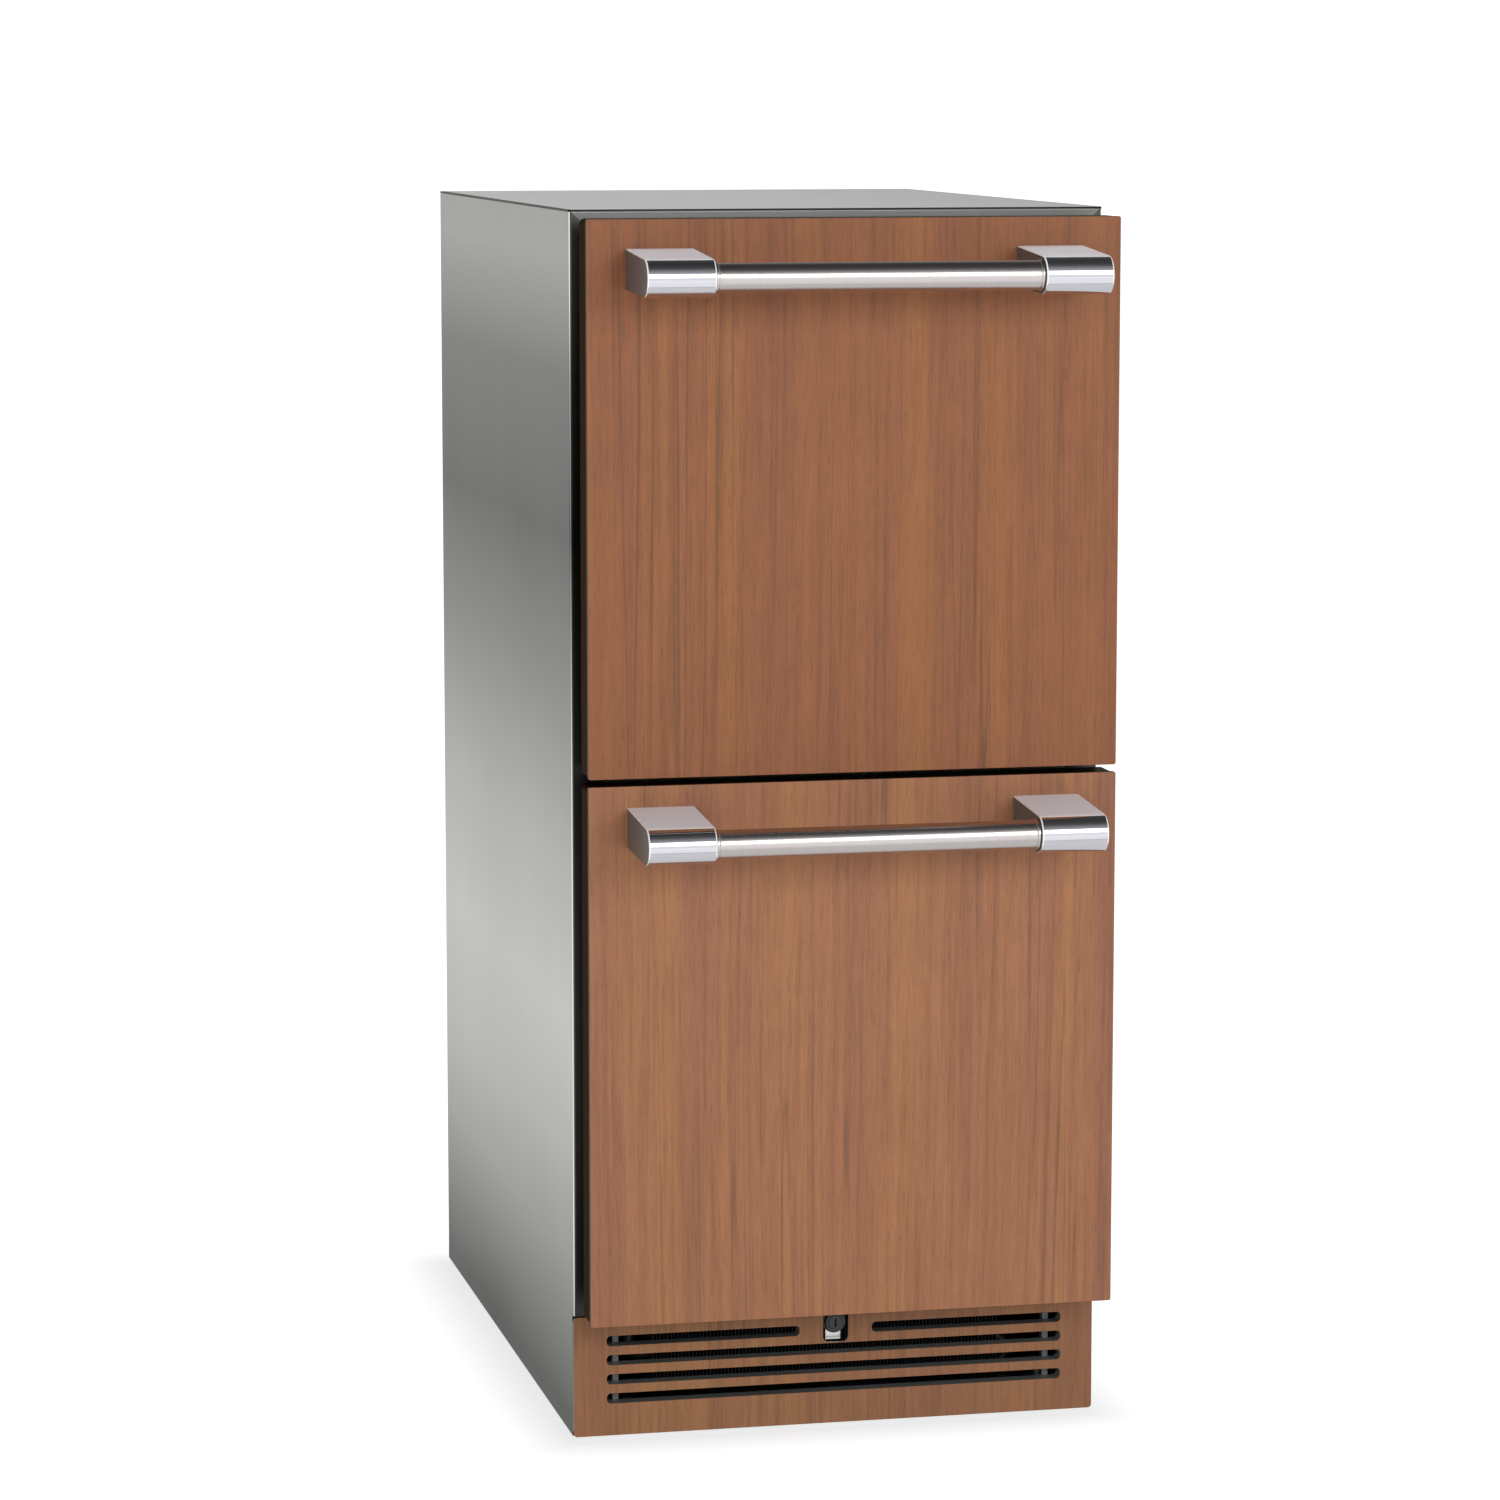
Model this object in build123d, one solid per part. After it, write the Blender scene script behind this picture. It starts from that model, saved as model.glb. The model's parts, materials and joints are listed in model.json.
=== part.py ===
from build123d import *
import os
from math import atan2, cos, hypot, sin

# Two-drawer undercounter refrigerator, built in millimetres.
# +X is the right-hand side seen from the front, +Y is to the back, +Z is up.
# The origin is on the floor, under the centre of the whole outline.
# Inside the functions a place is given by x, by a depth behind the cabinet's front
# face and by a height over the shell's lower edge.

# Cabinet
cabinet_width = 378.0
cabinet_height = 859.4
cabinet_depth = 559.0
foot_clearance = 4.2
shell_sheet = 1.2
front_flange = 24.0
bend_radius = 2.0
mitre_gap = 0.5
top_seam = 0.8
back_recess = 3.0
back_sheet = 1.2
rear_flange = 20.0
rear_vent_count = 9
rear_vent_height = 5.0
rear_vent_pitch = 15.0
first_rear_vent = 38.0
rear_vent_bar = 16.0
rear_vent_margin = 18.0
rear_screw_rows = 5
rear_screw_inset = 12.0
rear_screw_radius = 1.9
rear_screw_shank = 7.0
rear_screw_head = 4.0

# Insulation and liner
insulation_side = 37.0
insulation_top = 45.0
insulation_floor = 34.0
insulation_back = 40.0
insulation_step = 35.0
liner_sheet = 0.8
liner_flange = 18.0
deck_sheet = 1.0
plenum_rise = 6.2
ledge_depth = 12.0
rail_depth = 20.0
mullion_lip = 2.0
bay_depth = 194.0
bay_height = 234.0

# Drawer fronts
front_gap = 27.5
pan_depth = 22.5
pan_sheet = 1.0
pan_return = 12.0
pan_corner = 4.0
panel_thickness = 4.0
panel_corner = 1.5
panel_side_margin = 2.25
top_reveal = 5.1
drawer_gap = 5.1
lower_drawer_height = 377.2
grille_gap = 6.0
door_inset = 9.0
door_depth = 13.5
door_wall = 2.0
gasket_overhang = 2.0
gasket_width = 17.0
gasket_clearance = 0.3
mullion_height = 50.0
mullion_depth = 42.0

# Handles
handle_reach = 76.0
handle_span = 320.0
post_width = 47.0
post_height = 28.0
nose_diameter = 26.0
post_drop = 3.5
post_edge = 0.8
tube_diameter = 20.0
tube_wall = 1.5
tube_socket = 15.0
collar_width = 2.4
collar_rise = 0.7
upper_handle_drop = 33.8
lower_handle_drop = 28.8
handle_screw_diameter = 5.0
handle_screw_spacing = 24.0
handle_screw_grip = 12.0
handle_screw_head = 4.5
handle_screw_head_height = 2.5

# Bins and slides
bin_sheet = 1.0
bin_height = 200.0
bin_rim = 8.0
bin_floor_gap = 13.0
bin_back_gap = 15.0
slide_zone = 13.7
slide_sheet = 1.2
slide_height = 45.0
ball_gap = 3.5
slide_clearance = 0.4
slide_front_setback = 4.0
evaporator_space = 74.0

# Toe grille and lock
grille_height = 86.0
grille_sheet = 1.2
veneer_thickness = 0.8
grille_corner = 2.5
grille_seam = 1.2
grille_back_gap = 3.0
slot_height = 7.3
slot_length = 331.0
slot_pitch = 13.8
slot_rows = 4
slot_corner = 3.0
first_slot_height = 26.7
slot_lip = 9.0
slot_lip_sheet = 1.0
centre_land = 52.6
notch_width = 18.4
notch_depth = 27.3
notch_corner = 4.0
lock_drop = 13.5
lock_radius = 7.0
plug_radius = 5.0
tongue_length = 14.0
tongue_width = 11.0
running_gap = 0.05
lock_front = veneer_thickness + 0.2
lock_barrel_length = 7.5
lock_plate_front = 5.0
lock_plate_sheet = 1.4
lock_plate_margin = 1.4
bracket_inset = 10.5
bracket_width = 4.4
bracket_depth = 18.0
grille_fold = 7.0

# Machinery
leg_thread_diameter = 10.0
leg_foot_diameter = 32.0
leg_foot_gap = 0.3
leg_collar_height = 14.5
leg_collar_diameter = 18.0
leg_stud_height = 30.0
leg_inset_side = 29.0
leg_inset_depth = 39.0
base_sheet = 1.5
base_upturn = 16.5
compressor_radius = 56.0
compressor_height = 150.0
compressor_dome = 26.0
condenser_rows = 3
condenser_pitch = 22.0
condenser_depth = 110.0
coil_tube_radius = 4.0
fin_thickness = 0.5
fin_pitch = 9.0
cooling_fan_radius = 38.0
cold_fan_radius = 42.0
fan_hub_radius = 13.0
fan_tip_gap = 3.0
line_radius = 3.0
gland_bore = 9.0
gland_x = 120.0
gland_height = 205.0
gland_nut_radius = 11.0
gland_nut_thickness = 6.0
gland_neck_radius = 7.0
gland_inner_length = 10.0
drain_x = 80.0
drain_radius = 6.0
drain_wall = 1.2
tray_top = 32.0
tray_wall = 1.5
condenser_front = 30.0
condenser_low = 10.0
condenser_half = cabinet_width / 2 - 62.0
evaporator_low_gap = 60.0
evaporator_rows = 5
evaporator_setback = 14.0
coil_bend_reach = 12.0
drier_x = cabinet_width / 2 - 34.0
drier_low = 70.0
drier_length = 100.0
drier_radius = 9.0
drier_cone = 5.0
compressor_lift = 12.0
compressor_foot_margin = 34.0
compressor_foot_sheet = 3.0
grommet_radius = 8.0
grommet_pin_radius = 4.0
fan_blades = 5
fan_hub_length = 16.0
fan_shaft_radius = 2.5
blade_thickness = 1.6
blade_chord = 20.0
blade_pitch = 35.0
motor_radius = 20.0
motor_length = 26.0
strap_height = 14.0
strap_sheet = 1.6
relay_size = (26.0, 44.0, 52.0)
relay_low = 60.0
port_height = 40.0
discharge_height = 95.0
suction_height = 195.0
capillary_height = 200.0
return_slots = 5
return_slot_height = 4.5
return_slot_pitch = 10.0
control_half_width = 70.0
control_depths = (6.0, 34.0)
control_height = 22.0
touch_strip_half_width = 62.0
light_depths = (40.0, 54.0)
light_height = 7.0

# Places worked out from the sizes above
half_width = cabinet_width / 2
plenum_height = grille_height + plenum_rise
inner_half = half_width - shell_sheet
overall_depth = cabinet_depth + front_gap + pan_depth + panel_thickness + handle_reach
front_y = cabinet_depth / -2 + (overall_depth - cabinet_depth) / 2
back_plane = cabinet_depth - back_recess
liner_half = inner_half - insulation_side - liner_sheet
liner_ceiling = cabinet_height - shell_sheet - insulation_top - liner_sheet
deck_top = plenum_height + deck_sheet
liner_floor = deck_top + insulation_floor + liner_sheet
liner_back = back_plane - insulation_back - liner_sheet
deck_riser = back_plane - bay_depth
liner_riser = deck_riser - deck_sheet - insulation_step - liner_sheet
liner_step = bay_height + deck_sheet + insulation_floor + liner_sheet
flange_bottom = grille_height + grille_seam
lower_drawer_bottom = grille_height + grille_gap
lower_drawer_top = lower_drawer_bottom + lower_drawer_height
upper_drawer_bottom = lower_drawer_top + drawer_gap
upper_drawer_top = cabinet_height - top_reveal
mullion_middle = (lower_drawer_top + upper_drawer_bottom) / 2
mullion_bottom = mullion_middle - mullion_height / 2
mullion_top = mullion_middle + mullion_height / 2
panel_half = half_width - panel_side_margin
pan_front = -front_gap - pan_depth
panel_front = pan_front - panel_thickness
door_back = -front_gap + door_depth
door_half = panel_half - door_inset
bin_half = liner_half - slide_zone
upper_bin_back = liner_back - evaporator_space - bin_back_gap
lower_bin_back = liner_riser - bin_back_gap
nose_depth = panel_front - handle_reach + nose_diameter / 2
coil_half = liner_half - 40.0
leg_x = half_width - leg_inset_side
leg_depths = (leg_inset_depth, cabinet_depth - leg_inset_depth)
cooling_fan_x = 60.0
cooling_fan_height = plenum_height / 2
shroud_depth = deck_riser - 24.0
compressor_x = -50.0
compressor_depth = (deck_riser + back_plane) / 2
cold_fan_height = liner_ceiling - 62.0
cold_cover_depth = liner_back - evaporator_space
line_x = compressor_x - 46.0
lock_height = grille_height - lock_drop


def place(x, depth, height):
    """A location given in cabinet terms."""
    return Pos(x, front_y + depth, foot_clearance + height)


def slab(x0, x1, d0, d1, h0, h1):
    """A box between two widths, two depths and two heights."""
    middle = place((x0 + x1) / 2, (d0 + d1) / 2, (h0 + h1) / 2)
    return middle * Box(x1 - x0, d1 - d0, h1 - h0)


def wide_slab(half, d0, d1, h0, h1):
    """A box centred on the cabinet's middle plane."""
    return slab(-half, half, d0, d1, h0, h1)


def rounded_slab(x0, x1, d0, d1, h0, h1, radius):
    """A box whose four edges that run front to back are rounded."""
    box = slab(x0, x1, d0, d1, h0, h1)
    return fillet(box.edges().filter_by(Axis.Y), radius)


def prism(points, direction, length):
    """A flat outline, given by points in space, pulled along a direction."""
    face = Face(Wire.make_polygon([Vector(*p) for p in points], close=True))
    return extrude(face, length, dir=direction)


def prism_up(points, h0, h1):
    """An outline in (x, depth) pulled up."""
    corners = [(x, front_y + d, foot_clearance + h0) for x, d in points]
    return prism(corners, (0, 0, 1), h1 - h0)


def prism_back(points, d0, d1):
    """An outline in (x, height) pulled to the back."""
    corners = [(x, front_y + d0, foot_clearance + h) for x, h in points]
    return prism(corners, (0, 1, 0), d1 - d0)


def prism_across(points, x0, x1):
    """An outline in (depth, height) pulled across the cabinet."""
    corners = [(x0, front_y + d, foot_clearance + h) for d, h in points]
    return prism(corners, (1, 0, 0), x1 - x0)


def rod_across(x0, x1, depth, height, radius):
    """A round bar along X."""
    return place((x0 + x1) / 2, depth, height) * Rot(0, 90, 0) * Cylinder(radius, x1 - x0)


def rod_back(x, d0, d1, height, radius):
    """A round bar along Y."""
    return place(x, (d0 + d1) / 2, height) * Rot(90, 0, 0) * Cylinder(radius, d1 - d0)


def rod_up(x, depth, h0, h1, radius):
    """A round bar along Z."""
    return place(x, depth, (h0 + h1) / 2) * Cylinder(radius, h1 - h0)


def pipe(points, radius, bend):
    """A tube through points in (x, depth, height), with round corners."""
    corners = [(x, front_y + d, foot_clearance + h) for x, d, h in points]
    path = FilletPolyline(*corners, radius=bend)
    return sweep(Plane(path @ 0, z_dir=path % 0) * Circle(radius), path=path)


def edges_at(piece, axis, x=None, depth=None, height=None):
    """Edges along an axis that pass through the stated place."""
    def fits(edge):
        middle = edge.center()
        near_x = x is None or abs(middle.X - x) < 0.01
        near_y = depth is None or abs(middle.Y - front_y - depth) < 0.01
        near_z = height is None or abs(middle.Z - foot_clearance - height) < 0.01
        return near_x and near_y and near_z
    return piece.edges().filter_by(axis).filter_by(fits)


def both_sides(piece):
    """A piece and its mirror image as one group."""
    return Compound(children=[*piece.solids(), *mirror(piece, about=Plane.YZ).solids()])


def one(pieces):
    """Pieces fused into one."""
    first, *rest = pieces
    return first.fuse(*rest) if rest else first


def group(pieces):
    """Separate solids kept together under one name."""
    return Compound(children=[solid for piece in pieces for solid in piece.solids()])


# Cabinet shell

def rear_screw_places():
    """Where the screws of the two rear covers sit, as (x, height)."""
    x = inner_half - rear_flange / 2
    low, high = bay_height + rear_screw_inset - 1, cabinet_height - rear_screw_inset
    steps = rear_screw_rows - 1
    heights = [low + (high - low) * i / steps for i in range(rear_screw_rows)]
    heights += [rear_screw_inset, bay_height - rear_screw_inset]
    return [(side * x, h) for side in (-1, 1) for h in heights]


def rear_screw_bores(radius):
    """Bars along the rear screws' shanks."""
    return [rod_back(x, back_plane - rear_screw_shank, back_plane + 2, h, radius)
            for x, h in rear_screw_places()]


def left_side():
    """Wall, front flange, top ledge and rear flange bent from one sheet."""
    w, t = half_width, shell_sheet
    plan = [(-w, 0), (-w + front_flange, 0), (-w + front_flange, t),
            (-w + t, t), (-w + t, cabinet_depth), (-w, cabinet_depth)]
    panel = prism_up(plan, flange_bottom, cabinet_height)
    panel = fillet(edges_at(panel, Axis.Z, x=-w, depth=0), bend_radius)
    panel = fillet(edges_at(panel, Axis.Z, x=-w + t, depth=t), bend_radius - t)
    top = cabinet_height - mitre_gap / 2
    mitre = [(-w - 1, top + 1), (-w + front_flange + 1, top - front_flange - 1),
             (-w + front_flange + 1, cabinet_height + 1), (-w - 1, cabinet_height + 1)]
    panel -= prism_back(mitre, -1, t)
    grille_back = veneer_thickness + grille_sheet + grille_back_gap
    panel += slab(-w, -w + t, grille_back, cabinet_depth, 0, flange_bottom)
    ledge_top = cabinet_height - shell_sheet
    panel += slab(-w + t, -w + ledge_depth, ledge_depth, back_plane - ledge_depth / 2,
                  ledge_top - t, ledge_top)
    panel += slab(-w + t, -w + t + rear_flange, back_plane - t, back_plane,
                  base_upturn + 4, ledge_top - 6)
    for bore in rear_screw_bores(rear_screw_radius + running_gap):
        panel -= bore
    return panel


def make_top_panel():
    """Top sheet with its front flange bent down and mitred at both ends."""
    w, t, top = half_width, shell_sheet, cabinet_height
    side = [(0, top - front_flange), (0, top), (cabinet_depth, top),
            (cabinet_depth, top - t), (t, top - t), (t, top - front_flange)]
    panel = prism_across(side, -w + mitre_gap, w - mitre_gap)
    panel = fillet(edges_at(panel, Axis.X, depth=0, height=top), bend_radius)
    panel = fillet(edges_at(panel, Axis.X, depth=t, height=top - t), bend_radius - t)
    line = top + mitre_gap / 2
    mitre = [(-w - 1, line + 1), (-w + front_flange + 1, line - front_flange - 1),
             (-w + front_flange + 1, top - front_flange - 6), (-w - 1, top - front_flange - 6)]
    side_cut = slab(-w - 1, -w + t + top_seam, t, cabinet_depth + 1,
                    top - front_flange - 6, top + 1)
    for cut in (prism_back(mitre, -1, t), side_cut):
        panel -= cut
        panel -= mirror(cut, about=Plane.YZ)
    return panel


def make_back_panel():
    """Flat rear sheet over the foam."""
    sheet = wide_slab(inner_half - 0.2, back_plane, back_plane + back_sheet,
                      bay_height + 0.5, cabinet_height - shell_sheet - 0.2)
    for bore in rear_screw_bores(rear_screw_radius + running_gap):
        sheet -= bore
    return sheet


def make_rear_cover():
    """Vented cover over the compressor bay."""
    cover = wide_slab(inner_half - 0.2, back_plane, back_plane + back_sheet,
                      4, bay_height - 0.5)
    vent_half = inner_half - rear_flange - rear_vent_margin
    for row in range(rear_vent_count):
        low = first_rear_vent + row * rear_vent_pitch
        vent = rounded_slab(rear_vent_bar / 2, vent_half, back_plane - 1, back_plane + 3,
                            low, low + rear_vent_height, rear_vent_height / 2 - 0.1)
        cover -= vent
        cover -= mirror(vent, about=Plane.YZ)
    for bore in rear_screw_bores(rear_screw_radius + running_gap):
        cover -= bore
    return cover - rod_back(gland_x, back_plane - 1, back_plane + 3, gland_height,
                            gland_neck_radius + running_gap)


def make_rear_screws():
    """Pan-head screws of the back panel and the rear cover."""
    screws = []
    for x, h in rear_screw_places():
        face = back_plane + back_sheet
        head = rod_back(x, face, cabinet_depth, h, rear_screw_head)
        shank = rod_back(x, back_plane - rear_screw_shank, face, h, rear_screw_radius)
        screws.append(head + shank)
    return group(screws)


def make_base_pan():
    """Base sheet with upturned edges and a threaded collar for each leg."""
    half = inner_half
    front = veneer_thickness + grille_sheet + grille_back_gap
    rear = back_plane - shell_sheet
    pan = wide_slab(half, front, rear, 0, base_sheet)
    for x in (-half, half - base_sheet):
        pan += slab(x, x + base_sheet, front, rear, base_sheet, base_upturn)
    lip = front + 3.5
    pan += wide_slab(half - base_sheet, lip, lip + base_sheet, base_sheet, base_upturn)
    bore = leg_thread_diameter / 2 + running_gap
    for x in (-leg_x, leg_x):
        for depth in leg_depths:
            pan += rod_up(x, depth, base_sheet, base_sheet + leg_collar_height,
                          leg_collar_diameter / 2)
            pan -= rod_up(x, depth, -1, base_sheet + leg_collar_height + 1, bore)
    return pan


def make_bottom_rail():
    """Front rail below the lower drawer opening, with its lower edge turned back."""
    half = half_width - front_flange - 0.3
    rail = wide_slab(half, 0, shell_sheet, flange_bottom, liner_floor - 1.2)
    return rail + wide_slab(half, shell_sheet, rail_depth, flange_bottom,
                            flange_bottom + shell_sheet)


def make_mullion():
    """Channel across the front between the two drawer openings."""
    face = wide_slab(half_width - front_flange - 0.3, 0, shell_sheet, mullion_bottom, mullion_top)
    half = liner_half - 0.2
    low, high = mullion_bottom + mullion_lip, mullion_top - mullion_lip
    lower = wide_slab(half, shell_sheet, mullion_depth, low, low + shell_sheet)
    upper = wide_slab(half, shell_sheet, mullion_depth, high - shell_sheet, high)
    return face + lower + upper


def cavity_outline(grow, front):
    """Side outline of the cold space, stepped over the compressor bay."""
    floor, ceiling = liner_floor - grow, liner_ceiling + grow
    riser, back, step = liner_riser + grow, liner_back + grow, liner_step - grow
    return [(front, floor), (riser, floor), (riser, step), (back, step),
            (back, ceiling), (front, ceiling)]


def drain_line(radius, low, high):
    """The straight drain from the evaporator space down to the condensate tray."""
    return rod_up(drain_x, liner_back - 14, low, high, radius)


def suction_line(radius):
    """The straight riser of the suction line through the step."""
    return rod_up(line_x, liner_back - 30, bay_height - 10, liner_step + 10, radius)


def capillary_line(radius):
    """The straight riser of the capillary through the step."""
    return rod_up(coil_half - 6, liner_back - 30, bay_height - 10, liner_step + 10, radius)


def step_bores(gap):
    """Bars where three tubes pass the step."""
    return [drain_line(drain_radius + gap, bay_height - 10, liner_step + 10),
            suction_line(line_radius + gap), capillary_line(line_radius / 2 + gap)]


def make_liner():
    """Seamed inner tub with an outward flange behind the front frame."""
    front = shell_sheet + 0.3
    tub = prism_across(cavity_outline(liner_sheet, front),
                       -liner_half - liner_sheet, liner_half + liner_sheet)
    tub += wide_slab(liner_half + liner_flange, front, front + liner_sheet,
                     liner_floor - 8, liner_ceiling + liner_flange + 9)
    tub -= prism_across(cavity_outline(0, -5), -liner_half, liner_half)
    for bore in step_bores(running_gap):
        tub -= bore
    return tub


def make_foam():
    """Foamed-in-place insulation between the liner and the shell."""
    front = shell_sheet + 0.3 + liner_sheet
    ledge_under = cabinet_height - 2 * shell_sheet
    block = wide_slab(inner_half, front, back_plane, deck_top, ledge_under)
    block -= prism_across(cavity_outline(liner_sheet, -5),
                          -liner_half - liner_sheet, liner_half + liner_sheet)
    block -= wide_slab(half_width, deck_riser - deck_sheet, cabinet_depth,
                       0, bay_height + deck_sheet)
    block -= wide_slab(half_width - front_flange, -1, 21, 0, deck_top)
    rear = slab(-inner_half - 1, -inner_half + rear_flange, back_plane - shell_sheet,
                back_plane + 1, 0, cabinet_height)
    for cut in (rear, mirror(rear, about=Plane.YZ)):
        block -= cut
    for side in (left_side(), mirror(left_side(), about=Plane.YZ)):
        block -= side
    for bore in step_bores(running_gap) + rear_screw_bores(rear_screw_radius + running_gap):
        block -= bore
    return block


def make_machine_deck():
    """Stepped sheet that closes the foam over the machinery."""
    low, high = plenum_height, deck_top
    outline = [(shell_sheet + 1.1, low), (deck_riser, low), (deck_riser, bay_height),
               (back_plane, bay_height), (back_plane, bay_height + deck_sheet),
               (deck_riser - deck_sheet, bay_height + deck_sheet),
               (deck_riser - deck_sheet, high), (shell_sheet + 1.1, high)]
    deck = prism_across(outline, -inner_half, inner_half)
    rear = slab(-inner_half - 1, -inner_half + rear_flange + 0.2, back_plane - shell_sheet,
                back_plane + 1, bay_height - 1, bay_height + 2)
    deck -= rear
    deck -= mirror(rear, about=Plane.YZ)
    for bore in step_bores(running_gap):
        deck -= bore
    return deck


# Toe grille and lock

def slot_spans():
    """Every louvre slot as (x0, x1, lower edge)."""
    half = slot_length / 2
    spans = []
    for row in range(slot_rows):
        low = first_slot_height + row * slot_pitch - slot_height / 2
        if row == slot_rows - 1:
            spans += [(-half, -centre_land / 2, low), (centre_land / 2, half, low)]
        else:
            spans.append((-half, half, low))
    return spans


def grille_sheet_with_slots(d0, d1):
    """One layer of the grille, with its slots and the lock notch cut out."""
    sheet = rounded_slab(-half_width, half_width, d0, d1, 0, grille_height, grille_corner)
    for x0, x1, low in slot_spans():
        sheet -= rounded_slab(x0, x1, d0 - 1, d1 + 1, low, low + slot_height, slot_corner)
    bottom = grille_height - notch_depth
    notch = rounded_slab(-notch_width / 2, notch_width / 2, d0 - 1, d1 + 1,
                         bottom, grille_height + 10, notch_corner)
    return sheet - notch


def make_toe_grille():
    """Pressed steel grille with a lip turned back round each slot."""
    d0 = veneer_thickness
    d1 = d0 + grille_sheet
    grille = grille_sheet_with_slots(d0, d1)
    lip_back = d1 + slot_lip
    t = slot_lip_sheet
    for x0, x1, low in slot_spans():
        duct = rounded_slab(x0 - t, x1 + t, d1, lip_back, low - t, low + slot_height + t,
                            slot_corner + t)
        duct -= rounded_slab(x0, x1, d1 - 1, lip_back + 1, low, low + slot_height, slot_corner)
        duct -= slab(x0 - 2 * t, x1 + 2 * t, d1 - 1, lip_back + 1,
                     low + slot_height * 0.6, low + slot_height + 2 * t)
        grille += duct
    end = slab(-half_width, -half_width + grille_sheet, d1, d1 + 2.4,
               grille_corner + 1, grille_height - grille_corner - 1)
    fold = slab(-half_width + 6, -14, d1, d1 + grille_fold, grille_height - grille_sheet,
                grille_height)
    for part in (end, fold):
        grille += part
        grille += mirror(part, about=Plane.YZ)
    return grille


def make_grille_veneer():
    """Wood face of the grille."""
    return grille_sheet_with_slots(0, veneer_thickness)


def make_grille_brackets():
    """Upright angles on the base that the grille's lips rest against."""
    front = veneer_thickness + grille_sheet + slot_lip
    inner = slot_length / 2 - bracket_inset
    outer, t, top = inner + bracket_width, shell_sheet, grille_height - 4
    angle = slab(inner, outer, front, front + t, base_sheet, top)
    angle += slab(outer - t, outer, front + t, front + bracket_depth, base_sheet, top)
    return both_sides(angle)


def make_lock_housing():
    """Lock barrel on a bracket that hangs from the bottom rail."""
    barrel = rod_back(0, lock_front, lock_front + lock_barrel_length, lock_height, lock_radius)
    plate_back = lock_plate_front + lock_plate_sheet
    half = lock_radius + lock_plate_margin
    plate = rod_back(0, lock_plate_front, plate_back, lock_height, half)
    plate += slab(-half, half, lock_plate_front, plate_back, lock_height, flange_bottom)
    plate += slab(-half, half, plate_back, 18, flange_bottom - lock_plate_sheet, flange_bottom)
    bore = rod_back(0, 0, lock_front + lock_barrel_length + 1, lock_height,
                    plug_radius + running_gap)
    return barrel + plate - bore


def make_lock_plug():
    """Keyed plug with the steel tongue on its rear end."""
    rear = lock_front + lock_barrel_length + 0.4
    plug = rod_back(0, lock_front - 0.4, rear, lock_height, plug_radius)
    plug -= slab(-0.6, 0.6, lock_front - 1, lock_front + 3, lock_height - 3, lock_height + 3)
    tongue = rod_back(0, rear, rear + 1.4, lock_height, tongue_width / 2)
    tongue += slab(-tongue_width / 2, tongue_width / 2, rear, rear + 1.4,
                   lock_height - tongue_length, lock_height)
    return plug + tongue


# Drawers. A drawer is described by the heights of its front's lower and upper edges.

def handle_axis(drawer_top, drop):
    """Heights of a handle's middle at the panel and at its nose."""
    middle = drawer_top - drop
    return middle, middle - post_drop


def tangent_point(corner, centre, radius, side):
    """Where a line from a corner touches a circle, above it (+1) or below it (-1)."""
    dx, dy = centre[0] - corner[0], centre[1] - corner[1]
    distance = hypot(dx, dy)
    reach = (distance ** 2 - radius ** 2) ** 0.5
    turn = atan2(radius, reach)
    angle = atan2(dy, dx) - side * turn
    return corner[0] + reach * cos(angle), corner[1] + reach * sin(angle)


def handle_screw_places(drawer_top, drop):
    """Where the screws of one drawer's handle sit, as (x, height)."""
    middle, _ = handle_axis(drawer_top, drop)
    centre = handle_span / 2 - post_width / 2
    offset = handle_screw_spacing / 2
    return [(side * centre + shift, middle) for side in (-1, 1) for shift in (-offset, offset)]


def handle_screw_bores(drawer_top, drop, radius):
    """Bars along the handle screws' shanks."""
    inside = pan_front + pan_sheet
    return [rod_back(x, panel_front - handle_screw_grip, inside + 1, h, radius)
            for x, h in handle_screw_places(drawer_top, drop)]


def make_handle_posts(drawer_top, drop):
    """Two solid posts with a round nose, drilled for the tube and the screws."""
    middle, nose = handle_axis(drawer_top, drop)
    radius = nose_diameter / 2
    centre = (nose_depth, nose)
    high = (panel_front, middle + post_height / 2)
    low = (panel_front, middle - post_height / 2)
    # Seen from the right the nose points to lower depths, so the upper line turns clockwise.
    above = tangent_point(high, centre, radius, 1)
    below = tangent_point(low, centre, radius, -1)
    outer, inner = handle_span / 2, handle_span / 2 - post_width
    wedge = prism_across([high, above, centre, below, low], inner, outer)
    post = wedge + rod_across(inner, outer, nose_depth, nose, radius)
    ends = [f for f in post.faces().filter_by(Axis.X)]
    rims = [e for f in ends for e in f.edges()
            if e.center().Y < front_y + panel_front - 0.01]
    post = fillet(rims, post_edge)
    post -= rod_across(inner - 1, inner + tube_socket, nose_depth, nose,
                       tube_diameter / 2 + running_gap)
    pair = [post, mirror(post, about=Plane.YZ)]
    bores = handle_screw_bores(drawer_top, drop, handle_screw_diameter / 2 + running_gap)
    for bore in bores:
        pair = [p - bore for p in pair]
    return group(pair)


def make_handle_tube(drawer_top, drop):
    """Hollow bar between the posts, with a fine collar beside each post."""
    _, nose = handle_axis(drawer_top, drop)
    inner = handle_span / 2 - post_width
    half = inner + tube_socket - 0.5
    radius = tube_diameter / 2
    tube = rod_across(-half, half, nose_depth, nose, radius)
    for x in (-inner, inner - collar_width):
        tube += rod_across(x, x + collar_width, nose_depth, nose, radius + collar_rise)
    return tube - rod_across(-half - 1, half + 1, nose_depth, nose, radius - tube_wall)


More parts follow.
